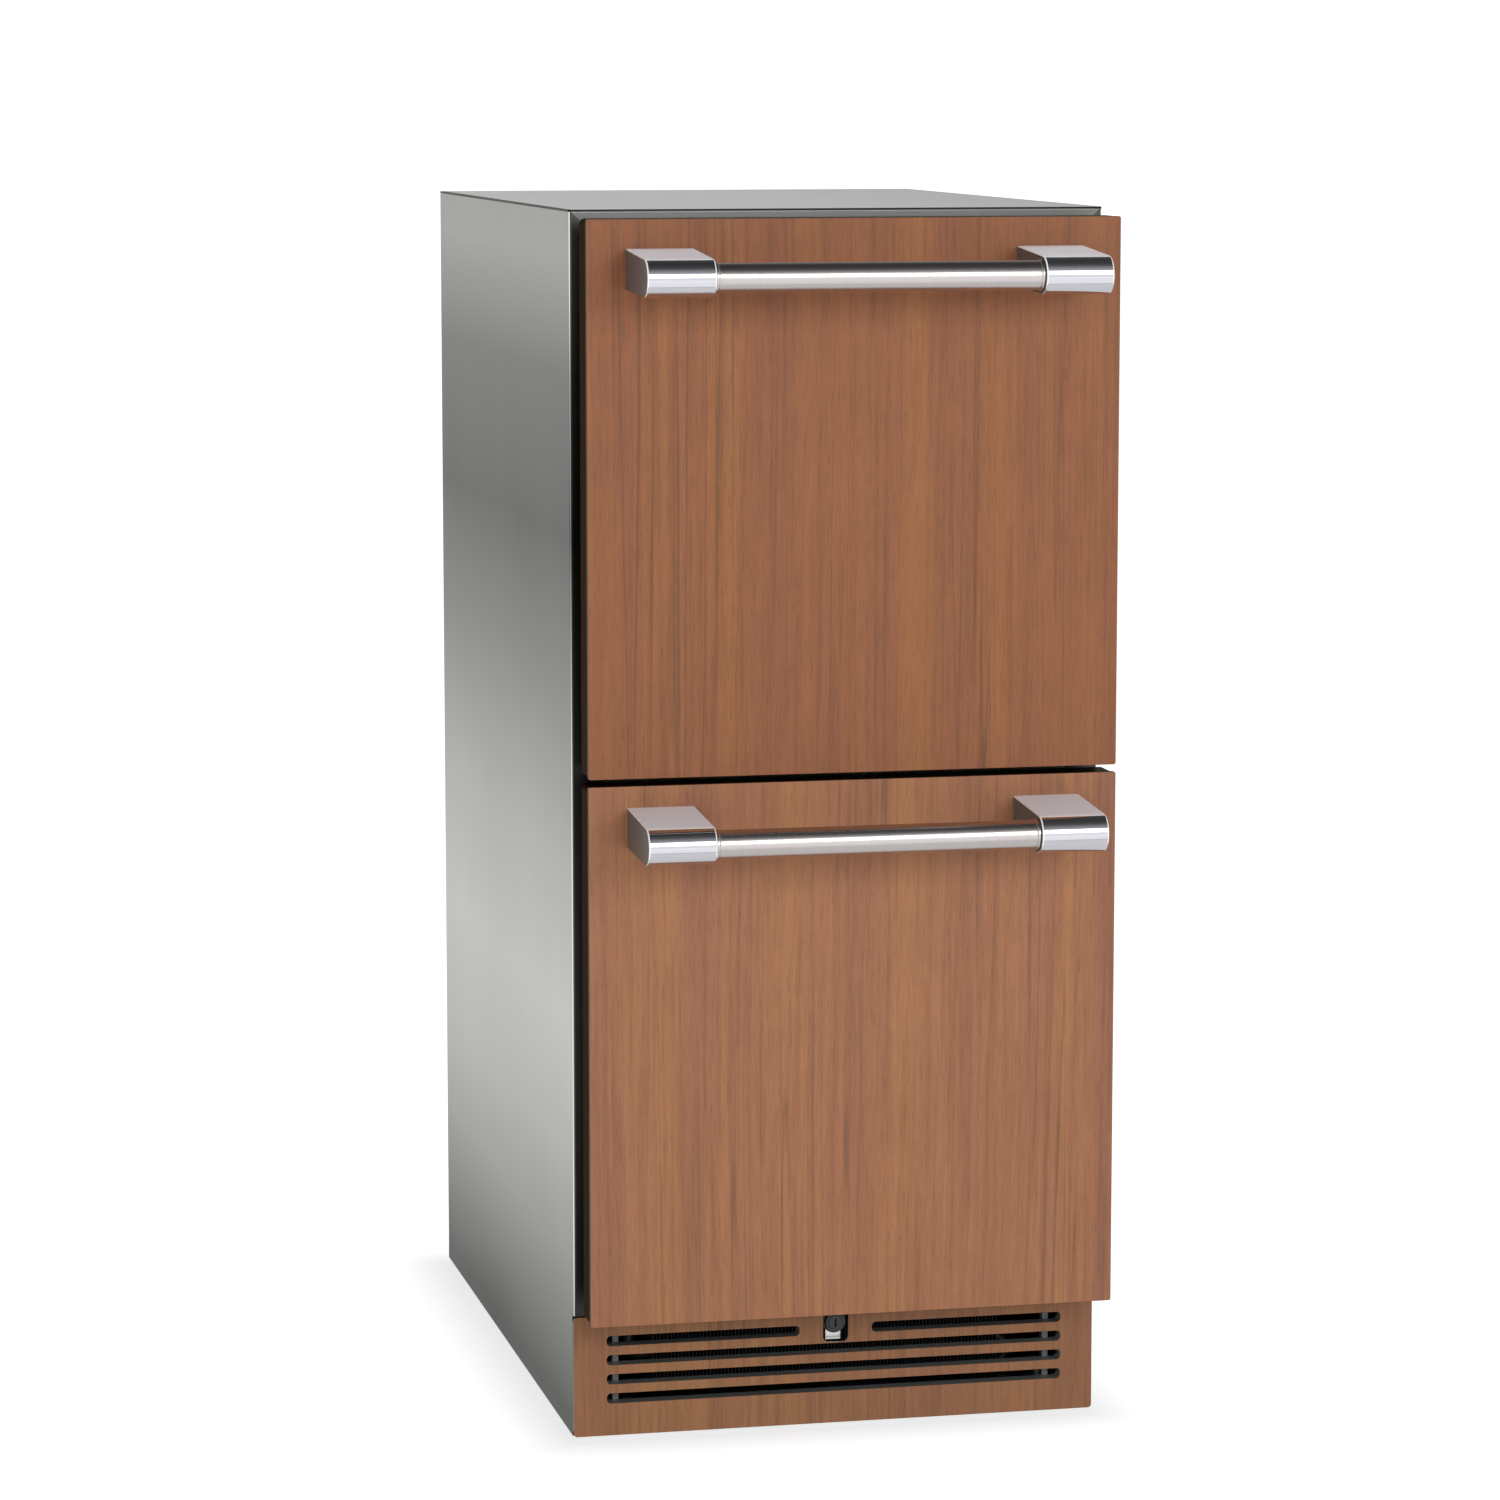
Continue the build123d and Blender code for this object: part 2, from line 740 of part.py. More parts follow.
def make_handle_screws(drawer_top, drop):
    """Machine screws that hold the handle from inside the pan."""
    inside = pan_front + pan_sheet
    screws = []
    for x, h in handle_screw_places(drawer_top, drop):
        head = rod_back(x, inside, inside + handle_screw_head_height, h, handle_screw_head)
        shank = rod_back(x, panel_front - handle_screw_grip + 0.5, inside, h,
                         handle_screw_diameter / 2)
        screws.append(head + shank)
    return group(screws)


def make_wood_panel(bottom, top, drop):
    """Wood face bonded to the drawer's pan."""
    panel = rounded_slab(-panel_half, panel_half, panel_front, pan_front, bottom, top,
                         panel_corner)
    for bore in handle_screw_bores(top, drop, handle_screw_diameter / 2 + running_gap):
        panel -= bore
    return panel


def make_pan(bottom, top, drop):
    """Stainless outer pan, open to the back, with its rear edge turned in."""
    t = pan_sheet
    pan = rounded_slab(-panel_half, panel_half, pan_front, -front_gap, bottom, top, pan_corner)
    pan -= rounded_slab(-panel_half + t, panel_half - t, pan_front + t, -front_gap - t,
                        bottom + t, top - t, pan_corner - t)
    edge = pan_return
    pan -= wide_slab(panel_half - edge, -front_gap - 2 * t, -front_gap + 1,
                     bottom + edge, top - edge)
    for bore in handle_screw_bores(top, drop, handle_screw_diameter / 2 + running_gap):
        pan -= bore
    return pan


def make_inner_door(bottom, top):
    """Moulded inner face of the drawer front, open towards the pan."""
    low, high = bottom + door_inset, top - door_inset
    tray = rounded_slab(-door_half, door_half, -front_gap, door_back, low, high, pan_corner)
    w = door_wall
    hollow = max(pan_return, door_inset + w)
    return tray - wide_slab(panel_half - hollow, -front_gap - 1, door_back - w,
                            bottom + hollow, top - hollow)


def make_front_foam(bottom, top, drop):
    """Foam core of a drawer front."""
    t = pan_sheet
    core = rounded_slab(-panel_half + t, panel_half - t, pan_front + t, -front_gap - t,
                        bottom + t, top - t, pan_corner - t)
    hollow = max(pan_return, door_inset + door_wall)
    core += wide_slab(panel_half - hollow, -front_gap - t, door_back - door_wall,
                      bottom + hollow, top - hollow)
    inside = pan_front + t
    for x, h in handle_screw_places(top, drop):
        core -= rod_back(x, inside - 1, inside + handle_screw_head_height, h,
                         handle_screw_head + running_gap)
    return core


def make_gasket(bottom, top):
    """Magnetic gasket: a base, a thin neck and a soft head, as one ring."""
    half = door_half + gasket_overhang
    low, high = bottom + door_inset - gasket_overhang, top - door_inset + gasket_overhang
    layers = [(door_back, door_back + 3, 0), (door_back + 3, door_back + 6, 3.5),
              (door_back + 6, -gasket_clearance, 0)]
    rings = []
    for d0, d1, inset in layers:
        outer = rounded_slab(-half + inset, half - inset, d0, d1, low + inset, high - inset, 6)
        inside = gasket_width - inset
        rings.append(outer - wide_slab(half - inside, d0 - 1, d1 + 1,
                                       low + inside, high - inside))
    return one(rings)


def make_bin(bottom, back):
    """Folded steel bin, open at the top, with its rim turned in."""
    s = bin_sheet
    top = bottom + bin_height
    box = wide_slab(bin_half, door_back, back, bottom, top)
    box -= wide_slab(bin_half - s, door_back + s, back - s, bottom + s, top - s)
    return box - wide_slab(bin_half - bin_rim, door_back + bin_rim, back - bin_rim,
                           top - 2 * s, top + 1)


def slide_lengths(back):
    """Front and back ends of a slide beside a bin."""
    return slide_front_setback, back - 2


def slide_outer(back, middle):
    """Outer member, a channel on the liner wall."""
    d0, d1 = slide_lengths(back)
    t, half = slide_sheet, slide_height / 2
    web = slab(liner_half - t, liner_half, d0, d1, middle - half, middle + half)
    reach = slide_zone - 3.0
    for h0 in (middle - half, middle + half - t):
        web += slab(liner_half - reach, liner_half - t, d0, d1, h0, h0 + t)
    return web


def slide_middle(back, middle):
    """Middle member, a flanged web that runs inside the outer one."""
    d0, d1 = slide_lengths(back)
    t = slide_sheet
    half = slide_height / 2 - t - ball_gap
    web_x = bin_half + slide_zone / 2
    web = slab(web_x, web_x + t, d0, d1, middle - half, middle + half)
    for h0 in (middle - half, middle + half - t):
        web += slab(bin_half + 4.0, liner_half - t - 0.6, d0, d1, h0, h0 + t)
    return web


def slide_inner(back, middle):
    """Inner member, a channel on the bin's side."""
    d0, d1 = slide_lengths(back)
    t = slide_sheet
    half = slide_height / 2 - 2 * t - 2 * ball_gap
    web = slab(bin_half, bin_half + t, d0, d1, middle - half, middle + half)
    tip = bin_half + slide_zone / 2 - slide_clearance
    for h0 in (middle - half, middle + half - t):
        web += slab(bin_half + t, tip, d0, d1, h0, h0 + t)
    return web


# Refrigeration machinery

def make_leg(x, depth):
    """Levelling leg: a threaded stud on a round foot."""
    foot_top = -leg_foot_gap
    foot = rod_up(x, depth, -foot_clearance, foot_top, leg_foot_diameter / 2)
    foot = chamfer(foot.edges().sort_by(Axis.Z)[-1:], 0.8)
    return foot + rod_up(x, depth, foot_top, leg_stud_height, leg_thread_diameter / 2)


def serpentine(half, depths, heights):
    """A coil tube that goes to and fro through two columns of rows."""
    points = []
    side = -1
    for depth, rows in zip(depths, (heights, heights[::-1])):
        for height in rows:
            points += [(side * half, depth, height), (-side * half, depth, height)]
            side = -side
    return pipe(points, coil_tube_radius, condenser_pitch / 2 - 2)


def finned_coil(half, d0, d1, h0, rows, pitch):
    """A serpentine tube through a row of upright fins."""
    heights = [h0 + pitch / 2 + pitch * i for i in range(rows)]
    depths = (d0 + (d1 - d0) * 0.25, d0 + (d1 - d0) * 0.75)
    tube = serpentine(half + coil_bend_reach, depths, heights)
    count = int(2 * half / fin_pitch)
    first = -count * fin_pitch / 2
    top = h0 + rows * pitch
    fins = [slab(first + i * fin_pitch, first + i * fin_pitch + fin_thickness, d0, d1, h0, top)
            for i in range(count + 1)]
    return tube.fuse(*fins)


def make_condenser():
    """Condenser behind the toe grille."""
    return finned_coil(condenser_half, condenser_front, condenser_front + condenser_depth,
                       condenser_low, condenser_rows, condenser_pitch)


def make_evaporator():
    """Evaporator behind the cold cover."""
    low = liner_step + evaporator_low_gap
    return finned_coil(coil_half - 18, cold_cover_depth + evaporator_setback, liner_back - 12,
                       low, evaporator_rows, condenser_pitch)


def make_fan(x, depth, height, radius, shaft_length):
    """Axial fan with its shaft; the depth is that of the blades' middle."""
    half = fan_hub_length / 2
    hub = rod_back(x, depth - half, depth + half, height, fan_hub_radius)
    fan = hub + rod_back(x, depth + half, depth + half + shaft_length, height, fan_shaft_radius)
    root = fan_hub_radius - 2
    plate = Box(radius - root, blade_thickness, blade_chord)
    blade = Pos((root + radius) / 2, 0, 0) * Rot(blade_pitch, 0, 0) * plate
    for i in range(fan_blades):
        fan += place(x, depth, height) * Rot(0, 360 / fan_blades * i, 0) * blade
    return fan & rod_back(x, depth - 20, depth + 30, height, radius)


def make_fan_motor(x, face, height, half_strap, strap_gap):
    """Fan motor on a cross strap; the face is where the strap starts."""
    t, low, high = strap_sheet, height - strap_height / 2, height + strap_height / 2
    body = rod_back(x, face, face + motor_length, height, motor_radius)
    strap = slab(x - half_strap, x + half_strap, face, face + t, low, high)
    for edge in (x - half_strap, x + half_strap - t):
        strap += slab(edge, edge + t, face - strap_gap, face, low, high)
    bore = rod_back(x, face - 1, face + 14, height, fan_shaft_radius + running_gap)
    return body + strap - bore


def make_fan_shroud():
    """Baffle with a collar round the cooling fan."""
    d = shroud_depth
    ring = cooling_fan_radius + fan_tip_gap
    plate = wide_slab(half_width - 14, d, d + 1.2, base_sheet, plenum_height)
    collar = rod_back(cooling_fan_x, d - 9, d + 9, cooling_fan_height, ring + 1.5)
    hole = rod_back(cooling_fan_x, d - 10, d + 10, cooling_fan_height, ring)
    shroud = plate + collar - hole
    for x in (-1, 1):
        shroud -= rod_back(x * (condenser_half + 6), d - 5, d + 5, 40, line_radius + 0.3)
    return shroud


def make_compressor():
    """Sealed compressor shell on its foot plate."""
    low = base_sheet + compressor_lift
    shell = rod_up(compressor_x, compressor_depth, low, low + compressor_height,
                   compressor_radius)
    shell = fillet(shell.edges(), compressor_dome)
    foot = place(compressor_x, compressor_depth, low + 4) * Box(
        2 * compressor_radius + compressor_foot_margin, 2 * compressor_radius - 20,
        compressor_foot_sheet)
    neck = rod_up(compressor_x, compressor_depth, low + 2.5, low + 30, compressor_radius - 12)
    plate = foot.fuse(neck)
    for x, d in compressor_feet():
        plate -= rod_up(x, d, 0, 40, grommet_pin_radius)
    return shell.fuse(plate)


def compressor_feet():
    """Where the compressor stands on its rubber grommets, as (x, depth)."""
    dx, dd = compressor_radius + 9, compressor_radius - 20
    return [(compressor_x + sx * dx, compressor_depth + sd * dd)
            for sx in (-1, 1) for sd in (-1, 1)]


def make_grommets():
    """Rubber mounts under the compressor's foot plate."""
    low, plate_low = base_sheet, base_sheet + compressor_lift + 2.5
    plate_high = plate_low + compressor_foot_sheet
    mounts = []
    for x, d in compressor_feet():
        body = rod_up(x, d, low, plate_low, grommet_radius)
        body += rod_up(x, d, plate_low, plate_high, grommet_pin_radius - running_gap)
        mounts.append(body + rod_up(x, d, plate_high, plate_high + 3, grommet_radius - 1.5))
    return group(mounts)


def make_start_relay():
    """Terminal box on the compressor's side."""
    x, d = compressor_x + compressor_radius, compressor_depth
    width, depth, height = relay_size
    box = slab(x + 0.3, x + width, d - depth / 2, d + depth / 2, relay_low, relay_low + height)
    clip = slab(x - 5, x + 0.3, d - 10, d + 10, relay_low + 14, relay_low + height - 14)
    return box + (clip - rod_up(compressor_x, d, relay_low - 10, relay_low + height + 8,
                                compressor_radius + running_gap))


def filter_drier():
    """Filter drier upright beside the compressor bay's right wall."""
    d = deck_riser + 26
    body = rod_up(drier_x, d, drier_low, drier_low + drier_length, drier_radius)
    return chamfer(body.edges(), drier_cone)


def make_refrigerant_lines():
    """Copper lines between compressor, condenser, drier and evaporator, and the drier."""
    side = condenser_half + 6
    end = condenser_front + condenser_depth + 12
    shell_top = compressor_height + base_sheet + compressor_lift
    shell_left = compressor_x - compressor_radius
    discharge = pipe([(-side, end, port_height), (-side, compressor_depth, port_height),
                      (-side, compressor_depth, discharge_height),
                      (shell_left - 0.3, compressor_depth, discharge_height)], line_radius, 8)
    liquid = pipe([(side, end, port_height), (side, deck_riser + 26, port_height),
                   (drier_x, deck_riser + 26, port_height), (drier_x, deck_riser + 26, drier_low)],
                  line_radius, 6)
    low = liner_step + evaporator_low_gap
    cap_depth = liner_back - 30
    capillary = pipe([(drier_x, deck_riser + 26, drier_low + drier_length),
                      (drier_x, deck_riser + 26, capillary_height),
                      (drier_x, cap_depth, capillary_height),
                      (coil_half - 6, cap_depth, capillary_height),
                      (coil_half - 6, cap_depth, low - 30)], line_radius / 2, 8)
    suction = pipe([(line_x, cap_depth, low - 30), (line_x, cap_depth, suction_height),
                    (compressor_x, cap_depth, suction_height),
                    (compressor_x, compressor_depth, suction_height),
                    (compressor_x, compressor_depth, shell_top + 0.3)], line_radius, 8)
    return group([discharge, liquid, filter_drier(), capillary, suction])


def make_condensate_tray():
    """Evaporating tray under the drain tube, on two short feet."""
    x0, x1 = compressor_x + compressor_radius + 34, leg_x - 24
    d0, d1 = liner_back - 50, back_plane - 14
    tray = slab(x0, x1, d0, d1, base_sheet + 2, tray_top)
    w = tray_wall
    tray -= slab(x0 + w, x1 - w, d0 + w, d1 - w, base_sheet + 2 + w, tray_top + 1)
    for x in (x0 + 6, x1 - 6):
        tray += rod_up(x, (d0 + d1) / 2, base_sheet, base_sheet + 2, 5)
    return tray


def make_drain_tube():
    """Drain from the evaporator space to the tray."""
    return drain_line(drain_radius, tray_top - 12, liner_step) - drain_line(
        drain_radius - drain_wall, tray_top - 20, liner_step + 5)


def make_cold_cover():
    """Cover in front of the evaporator, with the fan opening and return slots."""
    half = liner_half - 0.5
    d = cold_cover_depth
    low, high = liner_step + 0.5, liner_ceiling - 0.5
    cover = wide_slab(half, d, d + 1.2, low, high)
    for x in (-half, half - 1.2):
        cover += slab(x, x + 1.2, d + 1.2, liner_back - 0.5, low, high)
    cover -= rod_back(0, d - 1, d + 3, cold_fan_height, cold_fan_radius + fan_tip_gap)
    for row in range(return_slots):
        h = low + 18 + row * return_slot_pitch
        cover -= rounded_slab(-half + 30, half - 30, d - 1, d + 3, h, h + return_slot_height, 2.1)
    return cover


def make_control_module():
    """Electronic control with a flat touch strip, under the ceiling at the front."""
    front, back = control_depths
    body = wide_slab(control_half_width, front, back, liner_ceiling - control_height, liner_ceiling)
    return body + wide_slab(touch_strip_half_width, front - 0.8, front,
                            liner_ceiling - control_height + 3, liner_ceiling - 5)


def make_light_strip():
    """Lamp strip behind the control."""
    front, back = light_depths
    strip = wide_slab(coil_half - 10, front, back, liner_ceiling - light_height, liner_ceiling)
    return chamfer(strip.edges().filter_by(Axis.X).sort_by(Axis.Z)[:2], 2.5)


def make_cord_gland():
    """Cord gland in the rear cover, with its nut inside the bay."""
    face = back_plane + back_sheet
    flange = rod_back(gland_x, face, cabinet_depth, gland_height, gland_nut_radius)
    neck = rod_back(gland_x, back_plane - gland_inner_length, face, gland_height,
                    gland_neck_radius)
    nut_depth = back_plane - gland_nut_thickness
    nut = Plane((gland_x, front_y + nut_depth, foot_clearance + gland_height),
                z_dir=(0, 1, 0)) * RegularPolygon(gland_nut_radius, 6)
    nut = extrude(nut, gland_nut_thickness, dir=(0, 1, 0))
    bore = rod_back(gland_x, back_plane - 20, cabinet_depth + 1, gland_height, gland_bore / 2)
    return flange.fuse(neck, nut) - bore


drawers = {
    "upper": (upper_drawer_bottom, upper_drawer_top, upper_handle_drop,
              mullion_top + bin_floor_gap, upper_bin_back),
    "lower": (lower_drawer_bottom, lower_drawer_top, lower_handle_drop,
              liner_floor + bin_floor_gap, lower_bin_back),
}
cold_fan_depth = cold_cover_depth + evaporator_setback
cooling_motor_face = shroud_depth + 14.0
cold_motor_face = cold_fan_depth + 12.0

pieces = {
    "left_side_panel": left_side(),
    "right_side_panel": mirror(left_side(), about=Plane.YZ),
    "top_panel": make_top_panel(),
    "back_panel": make_back_panel(),
    "rear_cover": make_rear_cover(),
    "rear_screws": make_rear_screws(),
    "base_pan": make_base_pan(),
    "bottom_rail": make_bottom_rail(),
    "mullion": make_mullion(),
    "liner": make_liner(),
    "insulation_foam": make_foam(),
    "machine_deck": make_machine_deck(),
    "toe_grille": make_toe_grille(),
    "grille_veneer": make_grille_veneer(),
    "grille_brackets": make_grille_brackets(),
    "lock_housing": make_lock_housing(),
    "lock_plug": make_lock_plug(),
    "compressor": make_compressor(),
    "compressor_grommets": make_grommets(),
    "start_relay": make_start_relay(),
    "condenser_coil": make_condenser(),
    "cooling_fan_shroud": make_fan_shroud(),
    "cooling_fan": make_fan(cooling_fan_x, shroud_depth, cooling_fan_height,
                            cooling_fan_radius, 14),
    "refrigerant_lines": make_refrigerant_lines(),
    "condensate_tray": make_condensate_tray(),
    "drain_tube": make_drain_tube(),
    "evaporator_coil": make_evaporator(),
    "evaporator_cover": make_cold_cover(),
    "evaporator_fan": make_fan(0, cold_fan_depth, cold_fan_height, cold_fan_radius, 12),
    "fan_motors": group([
        make_fan_motor(cooling_fan_x, cooling_motor_face, cooling_fan_height,
                       cooling_fan_radius + fan_tip_gap + 1.5, 5),
        make_fan_motor(0, cold_motor_face, cold_fan_height,
                       cold_fan_radius + 8, cold_motor_face - cold_cover_depth - 1.2)]),
    "control_module": make_control_module(),
    "light_strip": make_light_strip(),
    "cord_gland": make_cord_gland(),
    "slide_outer_members": group([
        both_sides(slide_outer(back, low + bin_height / 2))
        for _, _, _, low, back in drawers.values()]),
}
corners = {"front_left": (-leg_x, leg_depths[0]), "front_right": (leg_x, leg_depths[0]),
           "rear_left": (-leg_x, leg_depths[1]), "rear_right": (leg_x, leg_depths[1])}
for corner, (x, depth) in corners.items():
    pieces[f"leg_{corner}"] = make_leg(x, depth)
for name, (bottom, top, drop, bin_bottom, bin_back) in drawers.items():
    slide_height_middle = bin_bottom + bin_height / 2
    pieces[f"{name}_wood_panel"] = make_wood_panel(bottom, top, drop)
    pieces[f"{name}_drawer_pan"] = make_pan(bottom, top, drop)
    pieces[f"{name}_front_foam"] = make_front_foam(bottom, top, drop)
    pieces[f"{name}_inner_door"] = make_inner_door(bottom, top)
    pieces[f"{name}_gasket"] = make_gasket(bottom, top)
    pieces[f"{name}_bin"] = make_bin(bin_bottom, bin_back)
    pieces[f"{name}_handle_posts"] = make_handle_posts(top, drop)
    pieces[f"{name}_handle_tube"] = make_handle_tube(top, drop)
    pieces[f"{name}_handle_screws"] = make_handle_screws(top, drop)
    pieces[f"{name}_slide_inner"] = both_sides(slide_inner(bin_back, slide_height_middle))
    pieces[f"{name}_slide_middle"] = both_sides(slide_middle(bin_back, slide_height_middle))

os.makedirs("parts", exist_ok=True)
for node, piece in pieces.items():
    export_step(piece, f"parts/{node}.step")
print(len(pieces), "nodes written")
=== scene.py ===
import bmesh
import bpy
import json
import math
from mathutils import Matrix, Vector

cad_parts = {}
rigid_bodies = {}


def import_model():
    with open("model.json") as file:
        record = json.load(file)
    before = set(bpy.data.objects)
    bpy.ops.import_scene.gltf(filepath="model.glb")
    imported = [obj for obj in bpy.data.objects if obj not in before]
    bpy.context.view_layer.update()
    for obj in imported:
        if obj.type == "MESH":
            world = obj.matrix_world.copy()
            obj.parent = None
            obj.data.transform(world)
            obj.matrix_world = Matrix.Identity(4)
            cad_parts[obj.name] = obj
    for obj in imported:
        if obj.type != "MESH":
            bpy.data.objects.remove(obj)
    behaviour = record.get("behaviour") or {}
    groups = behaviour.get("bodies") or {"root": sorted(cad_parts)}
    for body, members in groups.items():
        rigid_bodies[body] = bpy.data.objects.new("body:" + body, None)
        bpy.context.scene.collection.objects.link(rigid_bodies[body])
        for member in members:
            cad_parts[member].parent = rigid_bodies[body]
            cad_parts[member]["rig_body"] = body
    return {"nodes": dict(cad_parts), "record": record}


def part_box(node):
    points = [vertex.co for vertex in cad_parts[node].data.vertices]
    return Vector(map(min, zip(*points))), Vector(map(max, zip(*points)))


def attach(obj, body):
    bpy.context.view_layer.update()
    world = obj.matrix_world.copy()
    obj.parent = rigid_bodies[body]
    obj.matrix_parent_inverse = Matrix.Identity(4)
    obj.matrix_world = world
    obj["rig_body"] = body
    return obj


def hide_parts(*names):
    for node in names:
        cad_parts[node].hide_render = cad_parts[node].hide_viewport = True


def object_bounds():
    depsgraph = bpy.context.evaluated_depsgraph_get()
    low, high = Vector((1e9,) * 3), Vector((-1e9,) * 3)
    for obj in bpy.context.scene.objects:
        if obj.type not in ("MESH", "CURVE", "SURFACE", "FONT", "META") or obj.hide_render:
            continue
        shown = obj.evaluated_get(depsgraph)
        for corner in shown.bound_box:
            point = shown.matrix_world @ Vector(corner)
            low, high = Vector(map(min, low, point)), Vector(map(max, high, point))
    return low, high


# Two-drawer undercounter fridge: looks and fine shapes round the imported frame, in metres.
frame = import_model()
cadBounds = [list(corner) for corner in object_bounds()]
scene = bpy.context.scene
scene.view_settings.view_transform = "Standard"
nodes = frame["nodes"]
mm = 0.001


# Small helpers

def screenColour(red, green, blue):
    # a colour as it looks on a screen, 0 to 255, in the renderer's own values
    def straight(value):
        value /= 255
        return value / 12.92 if value <= 0.04045 else ((value + 0.055) / 1.055) ** 2.4
    return (straight(red), straight(green), straight(blue), 1.0)


class Finish:
    # one material, with short calls for the nodes that the finishes below share
    def __init__(self, name, colour, metal=0.0, rough=0.5, **sockets):
        self.material = bpy.data.materials.new(name)
        self.material.use_nodes = True
        self.tree = self.material.node_tree
        self.shader = self.tree.nodes["Principled BSDF"]
        self.shader.inputs["Base Color"].default_value = colour
        self.shader.inputs["Metallic"].default_value = metal
        self.shader.inputs["Roughness"].default_value = rough
        for socket, value in sockets.items():
            self.shader.inputs[socket.replace("_", " ")].default_value = value
        self.coordinates = self.tree.nodes.new("ShaderNodeTexCoord").outputs["Object"]

    def node(self, kind, feeds=None, **settings):
        made = self.tree.nodes.new(kind)
        for key, value in settings.items():
            setattr(made, key, value)
        for socket, value in (feeds or {}).items():
            if isinstance(value, bpy.types.NodeSocket):
                self.tree.links.new(value, made.inputs[socket])
            else:
                made.inputs[socket].default_value = value
        return made

    def stretched(self, scale, shift=(0, 0, 0), source=None):
        # object coordinates, scaled differently along each axis
        feeds = {"Vector": source or self.coordinates, "Scale": scale, "Location": shift}
        return self.node("ShaderNodeMapping", feeds).outputs["Vector"]

    def noise(self, vector, scale=1.0, detail=2.0, rough=0.5, twist=0.0):
        feeds = {"Vector": vector, "Scale": scale, "Detail": detail, "Roughness": rough,
                 "Distortion": twist}
        return self.node("ShaderNodeTexNoise", feeds).outputs["Fac"]

    def cells(self, vector, scale):
        feeds = {"Vector": vector, "Scale": scale}
        return self.node("ShaderNodeTexVoronoi", feeds).outputs["Distance"]

    def ramp(self, value, stops):
        # stops are (place, colour or grey)
        made = self.node("ShaderNodeValToRGB", {"Fac": value})
        band = made.color_ramp
        while len(band.elements) < len(stops):
            band.elements.new(0.5)
        for element, (place, tone) in zip(band.elements, stops):
            element.position = place
            element.color = tone if isinstance(tone, tuple) else (tone, tone, tone, 1.0)
        return made.outputs["Color"]

    def range(self, value, low, high, toLow, toHigh):
        feeds = {"Value": value, "From Min": low, "From Max": high,
                 "To Min": toLow, "To Max": toHigh}
        return self.node("ShaderNodeMapRange", feeds).outputs["Result"]

    def maths(self, operation, first, second):
        made = self.node("ShaderNodeMath", operation=operation)
        for socket, value in zip(made.inputs, (first, second)):
            if isinstance(value, bpy.types.NodeSocket):
                self.tree.links.new(value, socket)
            else:
                socket.default_value = value
        return made.outputs["Value"]

    def blend(self, factor, first, second, mode="MIX"):
        made = self.node("ShaderNodeMix", data_type="RGBA", blend_type=mode)
        for socket, value in ((made.inputs[0], factor), (made.inputs[6], first),
                              (made.inputs[7], second)):
            if isinstance(value, bpy.types.NodeSocket):
                self.tree.links.new(value, socket)
            else:
                socket.default_value = value
        return made.outputs[2]

    def bump(self, height, depth):
        feeds = {"Height": height, "Distance": depth}
        normal = self.node("ShaderNodeBump", feeds).outputs["Normal"]
        self.tree.links.new(normal, self.shader.inputs["Normal"])

    def feed(self, socket, value):
        self.tree.links.new(value, self.shader.inputs[socket])


def meshPiece(name, points, faces, smooth=None):
    # a new mesh object in the row frame; smooth is the angle, in degrees, below which it shades round
    mesh = bpy.data.meshes.new(name)
    mesh.from_pydata([tuple(p) for p in points], [], faces)
    mesh.validate()
    shape = bmesh.new()
    shape.from_mesh(mesh)
    bmesh.ops.recalc_face_normals(shape, faces=shape.faces)
    shape.to_mesh(mesh)
    shape.free()
    piece = bpy.data.objects.new(name, mesh)
    scene.collection.objects.link(piece)
    if smooth is not None:
        shadeRound(piece, smooth)
    return piece


def shadeRound(piece, degrees):
    piece.data.shade_smooth()
    piece.data.set_sharp_from_angle(angle=math.radians(degrees))


def levelNormals(piece):
    # flat faces keep their own shading next to a small rounded edge
    made = piece.modifiers.new("levelNormals", "WEIGHTED_NORMAL")
    made.keep_sharp = True
    made.weight = 100


def loft(name, loops, closedUp=False, smooth=40):
    # skins loops of equal length; the two ends are capped, or joined if closedUp
    count = len(loops[0])
    points = [p for loop in loops for p in loop]
    faces = []
    steps = len(loops) if closedUp else len(loops) - 1
    for row in range(steps):
        here, there = row * count, (row + 1) % len(loops) * count
        for i in range(count):
            j = (i + 1) % count
            faces.append((here + i, here + j, there + j, there + i))
    if not closedUp:
        faces.append(tuple(range(count)))
        faces.append(tuple((len(loops) - 1) * count + i for i in range(count)))
    return meshPiece(name, points, faces, smooth)


def lathe(name, profile, centre, axis, sides=64, smooth=35):
    # turns (along, radius) points about an axis through centre; both ends are capped
    along = "XYZ".index(axis)
    across, up = [i for i in range(3) if i != along]
    loops = []
    for place, radius in profile:
        loop = []
        for i in range(sides):
            angle = 2 * math.pi * i / sides
            point = Vector(centre)
            point[along] += place
            point[across] += radius * math.cos(angle)
            point[up] += radius * math.sin(angle)
            loop.append(point)
        loops.append(loop)
    return loft(name, loops, smooth=smooth)


def roundedRectangle(halfWide, halfHigh, radius, steps=6):
    # corners as arcs, anticlockwise, as (across, up)
    points = []
    for corner, (sx, sy) in enumerate(((1, 1), (-1, 1), (-1, -1), (1, -1))):
        for i in range(steps + 1):
            angle = math.pi / 2 * (corner + i / steps)
            points.append((sx * (halfWide - radius) + radius * math.cos(angle),
                           sy * (halfHigh - radius) + radius * math.sin(angle)))
    return points


def quarterRound(radius, steps):
    # (inset, distance from the end) of a small rounded rim, from the end inwards
    turns = [math.pi / 2 * i / steps for i in range(steps + 1)]
    return [(radius * (1 - math.sin(t)), radius * (1 - math.cos(t))) for t in turns]


